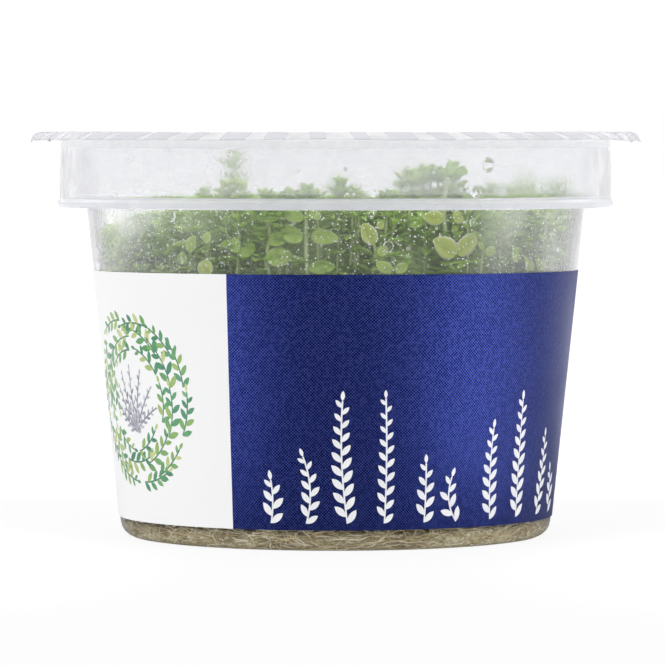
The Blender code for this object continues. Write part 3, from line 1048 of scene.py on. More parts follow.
def build_cup(finishes):
    """The moulded cup: the same section as its solid, with rounded lips and a bead under the skirt."""
    inner_fillet = BASE_FILLET - WALL
    neck_inner = NECK_RADIUS - WALL
    skirt_in = SKIRT_BOTTOM_RADIUS - WALL
    under_rim = RIM_Z - RIM_THICKNESS
    corners = [
        (0.0, FLOOR_Z, 0.0),
        (body_radius(FLOOR_Z) - WALL, FLOOR_Z, inner_fillet),
        (inner_radius(GEL_TOP_Z), GEL_TOP_Z, 0.0),
        (body_radius(STEP_Z) - WALL, STEP_Z, LIP),
        (neck_inner, STEP_Z + WALL, LIP * 2),
        (neck_inner, RIM_Z, LIP * 2),
        (SKIRT_TOP_RADIUS, RIM_Z, LIP * 3),
        (SKIRT_BOTTOM_RADIUS - 0.1 * MM, SKIRT_BOTTOM_Z + 1.5 * MM, LIP),
        (SKIRT_BOTTOM_RADIUS + BEAD, SKIRT_BOTTOM_Z + 1.1 * MM, LIP),
        (SKIRT_BOTTOM_RADIUS + BEAD, SKIRT_BOTTOM_Z, LIP),
        (skirt_in, SKIRT_BOTTOM_Z, LIP),
        (SKIRT_TOP_RADIUS - WALL, under_rim, LIP),
        (NECK_RADIUS, under_rim, LIP),
        (NECK_RADIUS, STEP_Z, LIP * 2),
        (body_radius(STEP_Z), STEP_Z - WALL, LIP),
        (BASE_RADIUS, 0.0, BASE_FILLET),
        (0.0, 0.0, 0.0),
    ]

    def slot_of(start, end):
        radius, height = (start + end) / 2
        if height > under_rim - LIP:
            return SEALED
        if STEP_Z - 0.85 * MM < height < STEP_Z + 0.9 * MM:
            return FROSTED
        if radius > NECK_RADIUS + 0.6 * MM:
            return MILKY
        if FLOOR_Z * 0.98 < height < GEL_TOP_Z and radius < floor_edge_radius(height) + 0.3 * WALL:
            return WETTED
        if height > FLOOR_Z - 0.01 * MM and radius < inner_radius(height) + 0.3 * WALL:
            return MISTED
        return CLEAR

    ride_as(turned("clear_cup", rounded(corners), finishes, slot_of), "clear_plastic", "cup")


def build_tongue(clear, stations=24):
    """A low tongue left by the mould on the skirt's lower lip."""
    lip_radius = SKIRT_BOTTOM_RADIUS + BEAD
    verts, faces = [], []
    for i in range(stations + 1):
        share = 2 * i / stations - 1
        angle = TONGUE_ANGLE + TONGUE_HALF * share
        full = 1 - abs(share) ** 5
        inside, outside = lip_radius - 0.08 * MM, lip_radius + (0.03 * MM + TONGUE_THICKNESS * full)
        low, high = SKIRT_BOTTOM_Z - 0.05 * MM, SKIRT_BOTTOM_Z + 0.1 * MM + TONGUE_HEIGHT * full
        for radius, z in ((inside, low), (outside, low), (outside, high), (inside, high)):
            verts.append((math.sin(angle) * radius, -math.cos(angle) * radius, z))
    for i in range(stations):
        for k in range(4):
            after = (k + 1) % 4
            faces.append([4 * i + k, 4 * i + 4 + k, 4 * i + 4 + after, 4 * i + after])
    faces.append([0, 1, 2, 3])
    faces.append([4 * stations + k for k in (3, 2, 1, 0)])
    ride_as(mesh_object("skirt_tongue", verts, faces, (clear,), smooth=False), "clear_plastic")


def film_surface(radius, angle):
    """The height of the film's underside: flat over the rim, then a low crest and a wavy fall."""
    share = max(radius - SKIRT_TOP_RADIUS, 0.0) / (FILM_RADIUS - SKIRT_TOP_RADIUS)
    waves = sum(size * math.sin(lobes * angle + phase) for lobes, size, phase in FILM_WAVES)
    crest = FILM_CREST * min(share / 0.12, 1.0)
    steep = 1.3 + 9.0 * abs(math.cos(angle)) ** 8
    return FILM_FLAT_Z + crest - FILM_DROP * share**steep + waves * share * 0.5


def film_thickness(radius):
    return FILM_THICKNESS * (1.0 if radius < MILKY_RADIUS else 0.5)


def lay_over_rim(mesh, on_film=0.0, lift=0.0):
    """Bends a flat sheet to the film's fall; what lies on the film is raised by its thickness."""
    points = coordinates(mesh)
    for point in points:
        radius, angle = math.hypot(point[0], point[1]), math.atan2(point[1], point[0])
        point[2] += film_surface(radius, angle) + film_thickness(radius) * on_film + lift
    set_coordinates(mesh, points)


def build_film(clear, milky):
    """A thin closed disc, laid on the rim, with a wavy overhang."""
    radii = [r * MM for r in (0.0, 12, 24, 36, 42, 45, 46.5, 48, 49.2)]
    radii += [FILM_RADIUS - (FILM_RADIUS - SKIRT_TOP_RADIUS) * (1 - i / 14) ** 1.5 for i in range(15)]
    outline = [Vector((r, film_thickness(r))) for r in radii] + [Vector((r, 0.0)) for r in reversed(radii)]

    def slot_of(start, end):
        return 1 if (start.x + end.x) / 2 > MILKY_RADIUS else 0

    film = turned("sealed_film", outline, (clear, milky), slot_of, FILM_STEPS)
    lay_over_rim(film.data)
    film.data.flip_normals()
    ride_as(film, "film", "film_lid")


def build_film_print(tree, material):
    """Pale blades printed round the film's edge."""
    blade = bar_shape("blade")
    carrier = mesh_object("print_carrier", [(0, 0, 0)], [])
    values = {
        "Blade": blade,
        "Count": BLADES,
        "Inner radius": PRINT_RADIUS,
        "Blade length": FILM_RADIUS - PRINT_RADIUS,
        "Blade width": BLADE_WIDTH,
        "Lean": BLADE_LEAN,
        "Finish": material,
    }
    mesh = run_tree(tree, carrier, "film_print", values)
    lay_over_rim(mesh, on_film=1.0, lift=PRINT_LIFT)
    discard(blade)
    discard(carrier)
    ride_as(piece_from(mesh, "film_print"), "film")


def label_point(along, height, lift=0.0):
    """A point on the label's face: along is the arc from the front, to the right."""
    angle = along / LABEL_RADIUS
    radius = body_radius(height) + LABEL_LIFT + LABEL_THICKNESS + lift
    return Vector((radius * math.sin(angle), -radius * math.cos(angle), height))


def build_label(material, columns=200, rows=16):
    """The strip round the body, closed all round its thickness, with its ends apart at the back."""
    half = math.pi - math.radians(LABEL_GAP_DEGREES / 2)
    verts, uvs, faces = [], [], []
    for depth in (0.0, -LABEL_THICKNESS):
        for j in range(rows + 1):
            z = LABEL_LOW + (LABEL_HIGH - LABEL_LOW) * j / rows
            for i in range(columns + 1):
                along = LABEL_RADIUS * half * (2 * i / columns - 1)
                bow = LABEL_BOW * max(math.cos(along / LABEL_RADIUS), 0.0) * j / rows
                verts.append(label_point(along, z + bow, depth))
                uvs.append((along, z))
    wide = columns + 1
    back = wide * (rows + 1)
    for j in range(rows):
        for i in range(columns):
            a, b = j * wide + i, (j + 1) * wide + i
            faces.append([a, a + 1, b + 1, b])
            faces.append([back + b, back + b + 1, back + a + 1, back + a])
    for i in range(columns):
        low, high = i, rows * wide + i
        faces.append([low + 1, low, back + low, back + low + 1])
        faces.append([high, high + 1, back + high + 1, back + high])
    for j in range(rows):
        left, right = j * wide, j * wide + columns
        faces.append([left, left + wide, back + left + wide, back + left])
        faces.append([right + wide, right, back + right, back + right + wide])
    label = mesh_object("printed_label", verts, faces, (material,))
    set_uvs(label, uvs)
    label.data.set_sharp_from_angle(angle=math.radians(LABEL_SHARP_DEGREES))
    ride_as(label, "label", "label")


def print_sprigs(tree, name, rows, material):
    """Prints sprigs on the label: each row says where one stands, how it runs, and its leaves."""
    glyph = flat_leaf_shape("glyph")
    carrier = mesh_object("print_carrier", [(0, 0, 0)], [])
    printed = []
    for number, row in enumerate(rows):
        along, height, heading, length, arch, leaves, leaf_length, leaf_width, lean = row
        values = {
            "Leaf": glyph,
            "Length": length * MM,
            "Arch": arch * MM,
            "Leaves": leaves,
            "Leaf length": leaf_length * MM,
            "Leaf width": leaf_width * MM,
            "Lean": math.radians(lean),
            "Stem width": PRINTED_STEM,
            "Seed": number,
            "Finish": material,
        }
        mesh = run_tree(tree, carrier, name, values)
        points = coordinates(mesh)
        c, s = math.cos(math.radians(heading)), math.sin(math.radians(heading))
        x = along * MM + c * points[:, 0] - s * points[:, 1]
        y = height * MM + s * points[:, 0] + c * points[:, 1]
        depth = points[:, 2] * (INK_THICKNESS / max(np.ptp(points[:, 2]), 1e-9))
        set_coordinates(mesh, [label_point(*spot) for spot in zip(x, y, depth)])
        printed.append(piece_from(mesh, name))
    discard(glyph)
    discard(carrier)
    ride_as(join_pieces(printed, name), "label")


def join_pieces(objects, name):
    bpy.ops.object.select_all(action="DESELECT")
    for obj in objects:
        obj.select_set(True)
    bpy.context.view_layer.objects.active = objects[0]
    if len(objects) > 1:
        bpy.ops.object.join()
    piece = bpy.context.view_layer.objects.active
    piece.name = name
    return piece


# What stands inside

def build_gel(material):
    wall_gap = 0.05 * MM
    bottom = ROOTS_HIGH_Z + 0.1 * MM
    corners = [
        (0.0, GEL_TOP_Z - 0.5 * MM, 0.0),
        (inner_radius(GEL_TOP_Z) - 3 * MM, GEL_TOP_Z - 0.5 * MM, 2 * MM),
        (inner_radius(GEL_TOP_Z) - wall_gap, GEL_TOP_Z, 0.0),
        (inner_radius(bottom) - wall_gap, bottom, 0.0),
        (0.0, bottom, 0.0),
    ]
    gel = turned("gel_disc", rounded(corners), (material,), steps=96)
    gel.data.flip_normals()
    ride_as(gel, "gel", "gel")


def build_roots(felt, fibre, fibre_tree):
    """The felt disc, and single roots that wander along the wall and over the floor."""
    edge = inner_radius(ROOTS_LOW_Z) - 0.3 * MM
    radii = [edge * i / 10 for i in range(11)]
    outline = [Vector((r, ROOTS_HIGH_Z)) for r in radii[:-1]]
    outline.append(Vector((edge - 0.3 * MM, ROOTS_HIGH_Z - 0.2 * MM)))
    heights = [ROOTS_HIGH_Z - 0.9 * MM]
    heights += [ROOTS_LOW_Z + rise * MM for rise in (1.8, 1.2, 0.7, 0.35, 0.12)]
    outline += [Vector((floor_edge_radius(z) - 0.25 * MM, z)) for z in heights]
    outline += [Vector((r, ROOTS_LOW_Z)) for r in reversed(radii[:-1])]
    felt_disc = turned("root_felt", outline, (felt,), steps=160)
    points = coordinates(felt_disc.data)
    for point in points:
        spot = Vector(point)
        lump = noise.noise(spot * 420.0) * 0.28 * MM + noise.noise(spot * 1500.0) * 0.12 * MM
        radius = math.hypot(point[0], point[1])
        if radius > ON_AXIS:
            point[:2] *= 1 + (lump - 0.2 * MM) * (radius / edge) / radius
        if point[2] > ROOTS_LOW_Z + 0.5 * MM:
            point[2] += lump - 0.25 * MM
    set_coordinates(felt_disc.data, points)
    ride_as(felt_disc, "roots", "root_mat")

    rng = random.Random(5)
    growth = Growth()
    for _ in range(WALL_ROOTS):
        angle = rng.uniform(0, math.tau)
        z = rng.uniform(ROOTS_LOW_Z + 0.1 * MM, ROOTS_HIGH_Z + 0.9 * MM)
        heading = rng.choice((rng.gauss(0.0, 0.35), rng.gauss(math.pi, 0.35), rng.uniform(0, math.tau)))
        route = []
        for _ in range(rng.randint(8, 22)):
            depth = rng.uniform(0.1, 0.45) * MM
            radius = floor_edge_radius(z) - depth
            route.append(Vector((radius * math.cos(angle), radius * math.sin(angle), z)))
            heading += rng.gauss(0.0, 0.45)
            angle += 1.1 * MM * math.cos(heading) / radius
            z += 0.8 * MM * math.sin(heading) * 0.6
            z = limited(z, ROOTS_LOW_Z, ROOTS_HIGH_Z + 1.6 * MM)
        thick = rng.uniform(0.07, 0.17) * MM
        growth.add_stem(route, thick, thick * 0.6, rng.random())
    for _ in range(FLOOR_ROOTS):
        spot = Vector((rng.gauss(0, 20 * MM), rng.gauss(0, 20 * MM)))
        heading = rng.uniform(0, math.tau)
        route = []
        for _ in range(rng.randint(10, 24)):
            if spot.length > edge - 1.5 * MM:
                break
            route.append(Vector((spot.x, spot.y, ROOTS_LOW_Z - rng.uniform(0.02, 0.1) * MM)))
            heading += rng.gauss(0.0, 0.4)
            spot += Vector((math.cos(heading), math.sin(heading))) * 1.6 * MM
        if len(route) > 3:
            growth.add_stem(route, 0.14 * MM, 0.07 * MM, rng.random())
    carrier = growth.carrier("root_lines")
    mesh = run_tree(fibre_tree, carrier, "root_fibres", {"Sides": 5, "Finish": fibre})
    discard(carrier)
    ride_as(piece_from(mesh, "root_fibres"), "roots")


def floor_edge_radius(z):
    """The inside of the cup near its floor, where the wall curves into it."""
    fillet = BASE_FILLET - WALL
    above = z - FLOOR_Z
    straight = inner_radius(z)
    if above >= fillet:
        return straight
    return straight - fillet + math.sqrt(max(fillet**2 - (fillet - above) ** 2, 0.0))


class Growth:
    """Gathers the stems and leaves of a plant as points that carry their own sizes and turns."""

    STEM_POINT = {"thickness": 0.0, "wet": 0.0, "leafy": False, "turn": (0, 0, 0), "size": (0, 0, 0)}

    def __init__(self):
        self.points = []
        self.edges = []
        self.values = {key: [] for key in ("tint", *self.STEM_POINT)}

    def put(self, point, **values):
        self.points.append(tuple(point))
        for key, value in {**self.STEM_POINT, **values}.items():
            self.values[key].append(value)

    def add_stem(self, route, start_radius, end_radius, tint):
        first = len(self.points)
        for i, point in enumerate(route):
            share = i / (len(route) - 1)
            self.put(point, thickness=start_radius + (end_radius - start_radius) * share, tint=tint)
        self.edges += [(first + i, first + i + 1) for i in range(len(route) - 1)]

    def add_leaf(self, foot, along, above, length, width, tint, wet=0.0):
        """A leaf from its foot: along is the way it points, above is the way its upper face looks."""
        x = along.normalized()
        y = above.cross(x).normalized()
        z = x.cross(y)
        turn = Matrix((x, y, z)).transposed().to_euler()
        size = (length, width, length)
        self.put(foot, leafy=True, turn=tuple(turn), size=size, tint=tint, wet=wet)

    def carrier(self, name):
        mesh = bpy.data.meshes.new(name)
        mesh.from_pydata(self.points, self.edges, [])
        kinds = {"leafy": "BOOLEAN", "turn": "FLOAT_VECTOR", "size": "FLOAT_VECTOR"}
        for key, values in self.values.items():
            kind = kinds.get(key, "FLOAT")
            layer = mesh.attributes.new(key, kind, "POINT")
            if kind == "FLOAT_VECTOR":
                layer.data.foreach_set("vector", [number for value in values for number in value])
            else:
                layer.data.foreach_set("value", values)
        return piece_from(mesh, name)


def crown_height(x):
    """How high the bed of plants stands: it falls away at the far left."""
    return CROWN_Z - FAR_LEFT_SLOPE * max(FAR_LEFT_X - x, 0.0)


def away_at(angle):
    return Vector((math.cos(angle), math.sin(angle), 0))


def sway(rng, size):
    """A sideways bow for a stem, drawn at random: its size is in millimetres."""
    return Vector((rng.gauss(0, size), rng.gauss(0, size))) * MM


def stem_route(foot, head, bow, steps=10):
    """A stem from foot to head that bows aside a little on its way."""
    route = []
    for i in range(steps + 1):
        share = i / steps
        point = foot.lerp(head, share)
        point += Vector((bow.x, bow.y, 0)) * math.sin(math.pi * share) * (1 - 0.3 * share)
        route.append(point)
    return route


def along_route(route, share):
    place = share * (len(route) - 1)
    i = min(int(place), len(route) - 2)
    return route[i].lerp(route[i + 1], place - i), (route[i + 1] - route[i]).normalized()


def clothe_stem(growth, route, rng, vigour=1.0, brightness=0.0, bare_below=GEL_TOP_Z + 2 * MM):
    """Sets whorls of leaves on a stem: small raised ones at the tip, then full ones, sparser far down."""
    total = sum((b - a).length for a, b in zip(route, route[1:]))
    down = 0.25 * MM
    turn = rng.uniform(0, math.tau)
    number = 0
    while down < total - 3 * MM:
        point, ahead = along_route(route, 1 - down / total)
        if point.z < bare_below:
            break
        young = math.exp(-down / (3.2 * MM))
        full = LEAF_LENGTH * vigour * rng.uniform(0.78, 1.12)
        length = full * (1 - 0.55 * young)
        width = length * LEAF_WIDTH / LEAF_LENGTH * rng.uniform(0.85, 1.12)
        lift = math.radians(rng.gauss(16, 12)) + young * math.radians(42)
        count = rng.choice((2, 3, 3, 4)) if number else rng.choice((2, 3, 4))
        deep = limited((crown_height(point.x) - point.z) / (16 * MM), 0.0, 1.0)
        side = ahead.orthogonal().normalized()
        for k in range(count):
            angle = turn + math.tau * k / count + rng.gauss(0, 0.18)
            outward = Matrix.Rotation(angle, 3, ahead) @ side
            along = outward * math.cos(lift) + ahead * math.sin(lift)
            above = ahead * math.cos(lift) - outward * math.sin(lift)
            above = (above + Vector([rng.gauss(0, 0.16) for _ in range(3)])).normalized()
            # painted shade: a leaf's tone darkens the deeper it stands below the crown of the bed
            tint = 0.47 + 0.22 * young - 0.22 * deep + brightness + rng.gauss(0, 0.13)
            foot = point + outward * STEM_RADIUS * 0.4
            growth.add_leaf(foot, along, above, length, width, limited(tint, 0.02, 0.98))
        number += 1
        turn += math.pi / count + rng.gauss(0, 0.2)
        gap = (1.5 + 1.9 * (1 - young)) * MM
        if point.z < DETAILED_ABOVE_Z:
            gap *= 1.9
        down += gap * rng.uniform(0.85, 1.2)


def press_on_wall(mesh, gap, give_way):
    """Leaves that meet the wall bend along it: past a soft limit, points come in to just inside it."""
    points = coordinates(mesh)
    radius = np.hypot(points[:, 0], points[:, 1])
    limits = np.array([inner_radius(z) for z in points[:, 2]]) - gap
    over = np.maximum(radius - (limits - give_way), 0.0)
    pressed = limits - give_way + give_way * (1 - np.exp(-over / give_way))
    scale = np.where(over > 0, pressed / np.maximum(radius, 1e-9), 1.0)
    points[:, :2] *= scale[:, None]
    points[:, 2] = np.minimum(points[:, 2], RIM_Z - 0.4 * MM)
    set_coordinates(mesh, points)


def plantlet_axis(name):
    """The foot of a plantlet's solid and the head of its stem."""
    low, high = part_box(name)
    points = coordinates(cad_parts[name].data)
    foot = points[points[:, 2] < low.z + 0.4 * MM].mean(axis=0)
    foot = Vector(foot)
    return foot, Vector((foot.x * (1 + SPLAY), foot.y * (1 + SPLAY), high.z - 1.2 * MM))


def grow_plantlet(number, name, plant):
    """A tuft in place of one plantlet's solid: its own stem, and finer ones close round it."""
    rng = random.Random(100 + number)
    foot, head = plantlet_axis(name)
    growth = Growth()
    bow = sway(rng, 0.8)
    route = stem_route(foot, head, bow)
    growth.add_stem(route, STEM_RADIUS * 1.2, STEM_RADIUS * 0.55, rng.uniform(0.5, 0.9))
    clothe_stem(growth, route, rng, 1.0, 0.06)
    first_angle = rng.uniform(0, math.tau)
    for k in range(SIDE_STEMS):
        angle = first_angle + math.tau * k / SIDE_STEMS + rng.gauss(0, 0.25)
        away = away_at(angle)
        reach = CELL_RADIUS * rng.uniform(0.45, 1.0)
        start = foot + away * rng.uniform(0.8, 2.6) * MM
        top = head + away * reach
        top.z = min(head.z, crown_height(top.x)) - abs(rng.gauss(0, 2.2)) * MM
        room = inner_radius(top.z) - 1.0 * MM
        if top.to_2d().length > room:
            top.x, top.y = top.to_2d() * (room / top.to_2d().length)
        bow = sway(rng, 1.2)
        route = stem_route(start, top, bow)
        growth.add_stem(route, STEM_RADIUS, STEM_RADIUS * 0.45, rng.uniform(0.3, 0.9))
        clothe_stem(growth, route, rng, rng.uniform(0.8, 1.05))
    finish_growth(growth, f"grown_{name}", plant, name)


def sight_line(x_px, y_px):
    """The direction in which a pixel of the photo looks."""
    width = SENSOR / LENS
    right = (x_px - CENTRE_PX) / PHOTO_PIXELS * width
    upward = (CENTRE_PX - y_px) / PHOTO_PIXELS * width
    sine, cosine = math.sin(EYE_PITCH), math.cos(EYE_PITCH)
    return Vector((right, cosine + upward * sine, upward * cosine - sine))


def behind_wall(x_px, y_px, depth):
    """The point seen at a pixel of the photo, that far behind the inner face of the front wall."""
    ray = sight_line(x_px, y_px)
    reach = EYE_DISTANCE
    for _ in range(6):
        point = EYE + ray * (reach / ray.y)
        radius = inner_radius(point.z) - depth
        reach = EYE_DISTANCE - math.sqrt(max(radius**2 - point.x**2, 0.0))
    return EYE + ray * (reach / ray.y)


def facing_leaf(growth, x_px, y_px, heading, length, width, depth, tilt, tint, wet):
    """A leaf whose face is turned to the front wall: heading is its way in the picture, 0 to the right."""
    foot = behind_wall(x_px, y_px, depth)
    outward = Vector((foot.x, foot.y, 0)).normalized()
    across = UP.cross(outward)
    angle, lean = math.radians(heading), math.radians(tilt)
    along = across * math.cos(angle) + UP * math.sin(angle)
    along = along * math.cos(lean) - outward * math.sin(lean)
    above = outward * math.cos(lean) + UP * math.sin(lean) * 0.7
    growth.add_leaf(foot, along, above, length * MM, width * MM, tint, wet)


def grow_front_shoots(plant):
    """The shoots that stand close behind the front wall, from the gel up."""
    growth = Growth()
    for line, depth, thick, tint, leaves in FRONT_SHOOTS:
        seen = [behind_wall(x, y, depth * MM) for x, y in line]
        low = seen[-1]
        foot = Vector((low.x * 0.9, low.y * 0.9, GEL_TOP_Z - 1.0 * MM))
        hidden = [foot.lerp(low, share / 4) for share in range(4)]
        route = smooth_line(hidden + seen[::-1])
        growth.add_stem(route, thick * 1.15 * MM, thick * 0.75 * MM, tint)
        for x, y, heading, length, width, tilt, leaf_tint, wet in leaves:
            leaf_depth = WALL_CLEARANCE + (0.1 * MM if wet > 0.5 else 0.5 * depth * MM)
            facing_leaf(growth, x, y, heading, length, width, leaf_depth, tilt, leaf_tint, wet)
    finish_growth(growth, "front_shoots", plant, sides=10, gap=WALL_CLEARANCE, give_way=FRONT_PRESS)


def grow_by_wall(growth, rng, away, depth, back, top_z, bow, tint, vigour, brightness):
    """A fine shoot that rises from the gel close behind the wall."""
    foot = away * (inner_radius(GEL_TOP_Z) - depth - back) + UP * (GEL_TOP_Z - 1.0 * MM)
    top = away * (inner_radius(top_z) - depth) + UP * top_z
    route = stem_route(foot, top, bow, steps=12)
    growth.add_stem(route, STEM_RADIUS * 0.75, STEM_RADIUS * 0.4, tint)
    clothe_stem(growth, route, rng, vigour, brightness, RING_BARE_BELOW)


def grow_wall_ring(plant):
    """Fine shoots all round, close behind the wall, and closer ones at the far left."""
    rng = random.Random(77)
    growth = Growth()
    for k in range(RING_SHOOTS):
        away = away_at(math.tau * k / RING_SHOOTS + rng.gauss(0, 0.04))
        depth = rng.uniform(1.4, 4.4) * MM
        wall_x = (away * inner_radius(CROWN_Z)).x
        depth *= 1 - 0.6 * limited((-wall_x - 34 * MM) / (6 * MM), 0.0, 1.0)
        if away.y < FRONT_FREE:
            depth += FRONT_GAP
        top_z = crown_height(wall_x + math.copysign(depth, -wall_x)) - abs(rng.gauss(0, 2.4)) * MM
        looks = sway(rng, 0.8), rng.uniform(0.4, 0.9), rng.uniform(0.55, 0.95), rng.uniform(0.0, 0.3)
        grow_by_wall(growth, rng, away, depth, 1.0 * MM, top_z, *looks)
    for k in range(LEFT_SHOOTS):
        away = away_at(math.pi + LEFT_SPREAD * (2 * (k + 0.5) / LEFT_SHOOTS - 1))
        depth = rng.uniform(0.5, 1.6) * MM
        top_z = LEFT_TOP_Z - abs(rng.gauss(0, 1.6)) * MM
        bow = Vector((0.0, rng.gauss(0, 0.5))) * MM
        looks = bow, rng.uniform(0.4, 0.7), rng.uniform(0.6, 0.8), rng.uniform(-0.1, 0.1)
        grow_by_wall(growth, rng, away, depth, 0.6 * MM, top_z, *looks)
    finish_growth(growth, "wall_ring_shoots", plant)


def grow_collar_tufts(plant):
    """The tips that stand out of the bed into the collar."""
    rng = random.Random(31)
    growth = Growth()
    for x_px, y_px, spread, count, depth, brightness in COLLAR_TUFTS:
        for k in range(count):
            across = spread * (2 * (k + 0.5) / count - 1) + rng.gauss(0, 1.0)
            lower = abs(across) / max(spread, 1) * 5 + abs(rng.gauss(0, 2.0))
            top = behind_wall(x_px + across, y_px + lower, (depth + rng.gauss(0, 1.0)) * MM)
            foot = Vector((top.x * 0.93, top.y * 0.93, TUFT_FOOT_Z))
            bow = sway(rng, 0.5)
            route = stem_route(foot, top, bow, steps=8)
            growth.add_stem(route, STEM_RADIUS * 0.8, STEM_RADIUS * 0.4, rng.uniform(0.4, 0.9))
            clothe_stem(growth, route, rng, rng.uniform(0.55, 0.8), brightness, TUFT_FOOT_Z + 3 * MM)
    finish_growth(growth, "collar_tufts", plant)


def finish_growth(growth, name, plant, *nodes, sides=6, gap=LEAF_GAP, give_way=WALL_PRESS):
    """Turns what was gathered into one piece that rides in the cup: plant is a tree and its values."""
    tree, values = plant
    carrier = growth.carrier("plant_lines")
    mesh = run_tree(tree, carrier, name, {**values, "Stem sides": sides})
    discard(carrier)
    press_on_wall(mesh, gap, give_way)
    ride_as(piece_from(mesh, name), "leaf_green", *nodes)


def smooth_line(points, parts=4):
    """A smooth curve through the points."""
    route = []
    for i in range(len(points) - 1):
        before, start = points[max(i - 1, 0)], points[i]
        end, after = points[i + 1], points[min(i + 2, len(points) - 1)]
        for k in range(parts):
            t = k / parts
            pull = (end - before) * 0.5, (after - start) * 0.5
            h1, h2 = 2 * t**3 - 3 * t**2 + 1, t**3 - 2 * t**2 + t
            h3, h4 = 3 * t**2 - 2 * t**3, t**3 - t**2
            route.append(start * h1 + pull[0] * h2 + end * h3 + pull[1] * h4)
    return route + [points[-1]]


# Dew

def wall_patch(low_z, high_z, steps=96, rows=12):
    """The inner wall as an open strip that faces the axis, for drops to stand on."""
    verts, faces = [], []
    for j in range(rows + 1):
        z = low_z + (high_z - low_z) * j / rows
        verts += circle(inner_radius(z) - DEW_INSET, z, steps)
    for j in range(rows):
        for i in range(steps):
            k = (i + 1) % steps
            faces.append([j * steps + i, (j + 1) * steps + i, (j + 1) * steps + k, j * steps + k])
    return mesh_object("wall_patch", verts, faces)


def build_mist(body_fog, neck_fog):
    """The fog as a skin on the inner wall, from above the label's edge up to the rim."""
    skins = (
        ("wall_mist", 40 * MM, STEP_Z - 0.4 * MM, body_fog),
        ("neck_mist", STEP_Z + 1.7 * MM, RIM_Z - 0.6 * MM, neck_fog),
    )
    for name, low, high, material in skins:
        heights = [low + (high - low) * i / 8 for i in range(9)]
        outline = [Vector((inner_radius(z) - (MIST_INSET + MIST_THICKNESS), z)) for z in heights]
        outline += [Vector((inner_radius(z) - MIST_INSET, z)) for z in reversed(heights)]
        outline.append(outline[0])
        skin = turned(name, outline, (material,), steps=128)
        merge_doubles(skin.data)
        ride_as(skin, "clear_plastic")


def merge_doubles(mesh):
    cage = bmesh.new()
    cage.from_mesh(mesh)
    bmesh.ops.remove_doubles(cage, verts=cage.verts, dist=1e-6)
    bmesh.ops.recalc_face_normals(cage, faces=cage.faces)
    cage.to_mesh(mesh)
    cage.free()


def film_patch(steps=72):
    """The film's underside over the cup's mouth, for drops to hang from."""
    z = FILM_FLAT_Z - 0.02 * MM
    verts = [(0, 0, z), *circle(NECK_RADIUS - WALL - 0.8 * MM, z, steps)]
    faces = [[0, 1 + (i + 1) % steps, 1 + i] for i in range(steps)]
    return mesh_object("film_patch", verts, faces)


def build_dew(tree, material):
    drop = drop_shape("drop")
    labels = ("Drops per square metre", "Smallest", "Largest", "Patch scale", "Seed")
    spots = (
        ("wall_dew", wall_patch(48 * MM, STEP_Z - 0.3 * MM), 900000.0, 0.07 * MM, 0.32 * MM, 90.0, 3),
        ("neck_dew", wall_patch(STEP_Z + 1.6 * MM, RIM_Z - 0.9 * MM), 160000.0, 0.08 * MM, 0.4 * MM, 80.0, 8),
        ("film_dew", film_patch(), 300000.0, 0.12 * MM, 0.6 * MM, 60.0, 21),
    )
    for name, patch, *numbers in spots:
        values = {"Drop": drop, "Finish": material, **dict(zip(labels, numbers))}
        mesh = run_tree(tree, patch, name, values)
        discard(patch)
        ride_as(piece_from(mesh, name), "film" if name == "film_dew" else "clear_plastic")
    discard(drop)


def build_large_drops(material):
    """Single drops that hang on the inner wall: closed domes, longer downwards than across."""
    verts, faces = [], []
    sides, rings = 20, 6
    for x_px, y_px, radius in LARGE_DROPS:
        foot = behind_wall(x_px, y_px, 0.04 * MM)
        outward = Vector((foot.x, foot.y, 0)).normalized()
        across = UP.cross(outward)
        first = len(verts)
        verts.append(foot - outward * radius * 0.5 * MM)
        for ring in range(1, rings + 1):
            slope = math.pi / 2 * ring / rings
            for k in range(sides):
                turn = math.tau * k / sides
                wide = radius * math.sin(slope) * MM
                sag = LARGE_DROP_SAG if math.sin(turn) < 0 else 1.0
                point = foot + across * wide * math.cos(turn) + UP * wide * math.sin(turn) * sag
                verts.append(point - outward * radius * 0.5 * math.cos(slope) * MM)
        verts.append(foot)
        for k in range(sides):
            n = (k + 1) % sides
            faces.append([first, first + 1 + k, first + 1 + n])
            for ring in range(rings - 1):
                low, high = first + 1 + ring * sides, first + 1 + (ring + 1) * sides
                faces.append([low + k, high + k, high + n, low + n])
            last = first + 1 + (rings - 1) * sides
            faces.append([last + k, len(verts) - 1, last + n])
    drops = mesh_object("large_drops", verts, faces, (material,))
    merge_doubles(drops.data)
    ride_as(drops, "clear_plastic")


# The studio

def place_camera():
    camera = bpy.data.objects.new("camera", bpy.data.cameras.new("camera"))
    camera.data.sensor_width = SENSOR
    camera.data.lens = LENS
    camera.data.clip_start = 10 * MM
    camera.data.clip_end = 20.0
    camera.location = EYE
    camera.rotation_euler = (math.pi / 2 - EYE_PITCH, 0, 0)
    bpy.context.scene.collection.objects.link(camera)
    bpy.context.scene.camera = camera


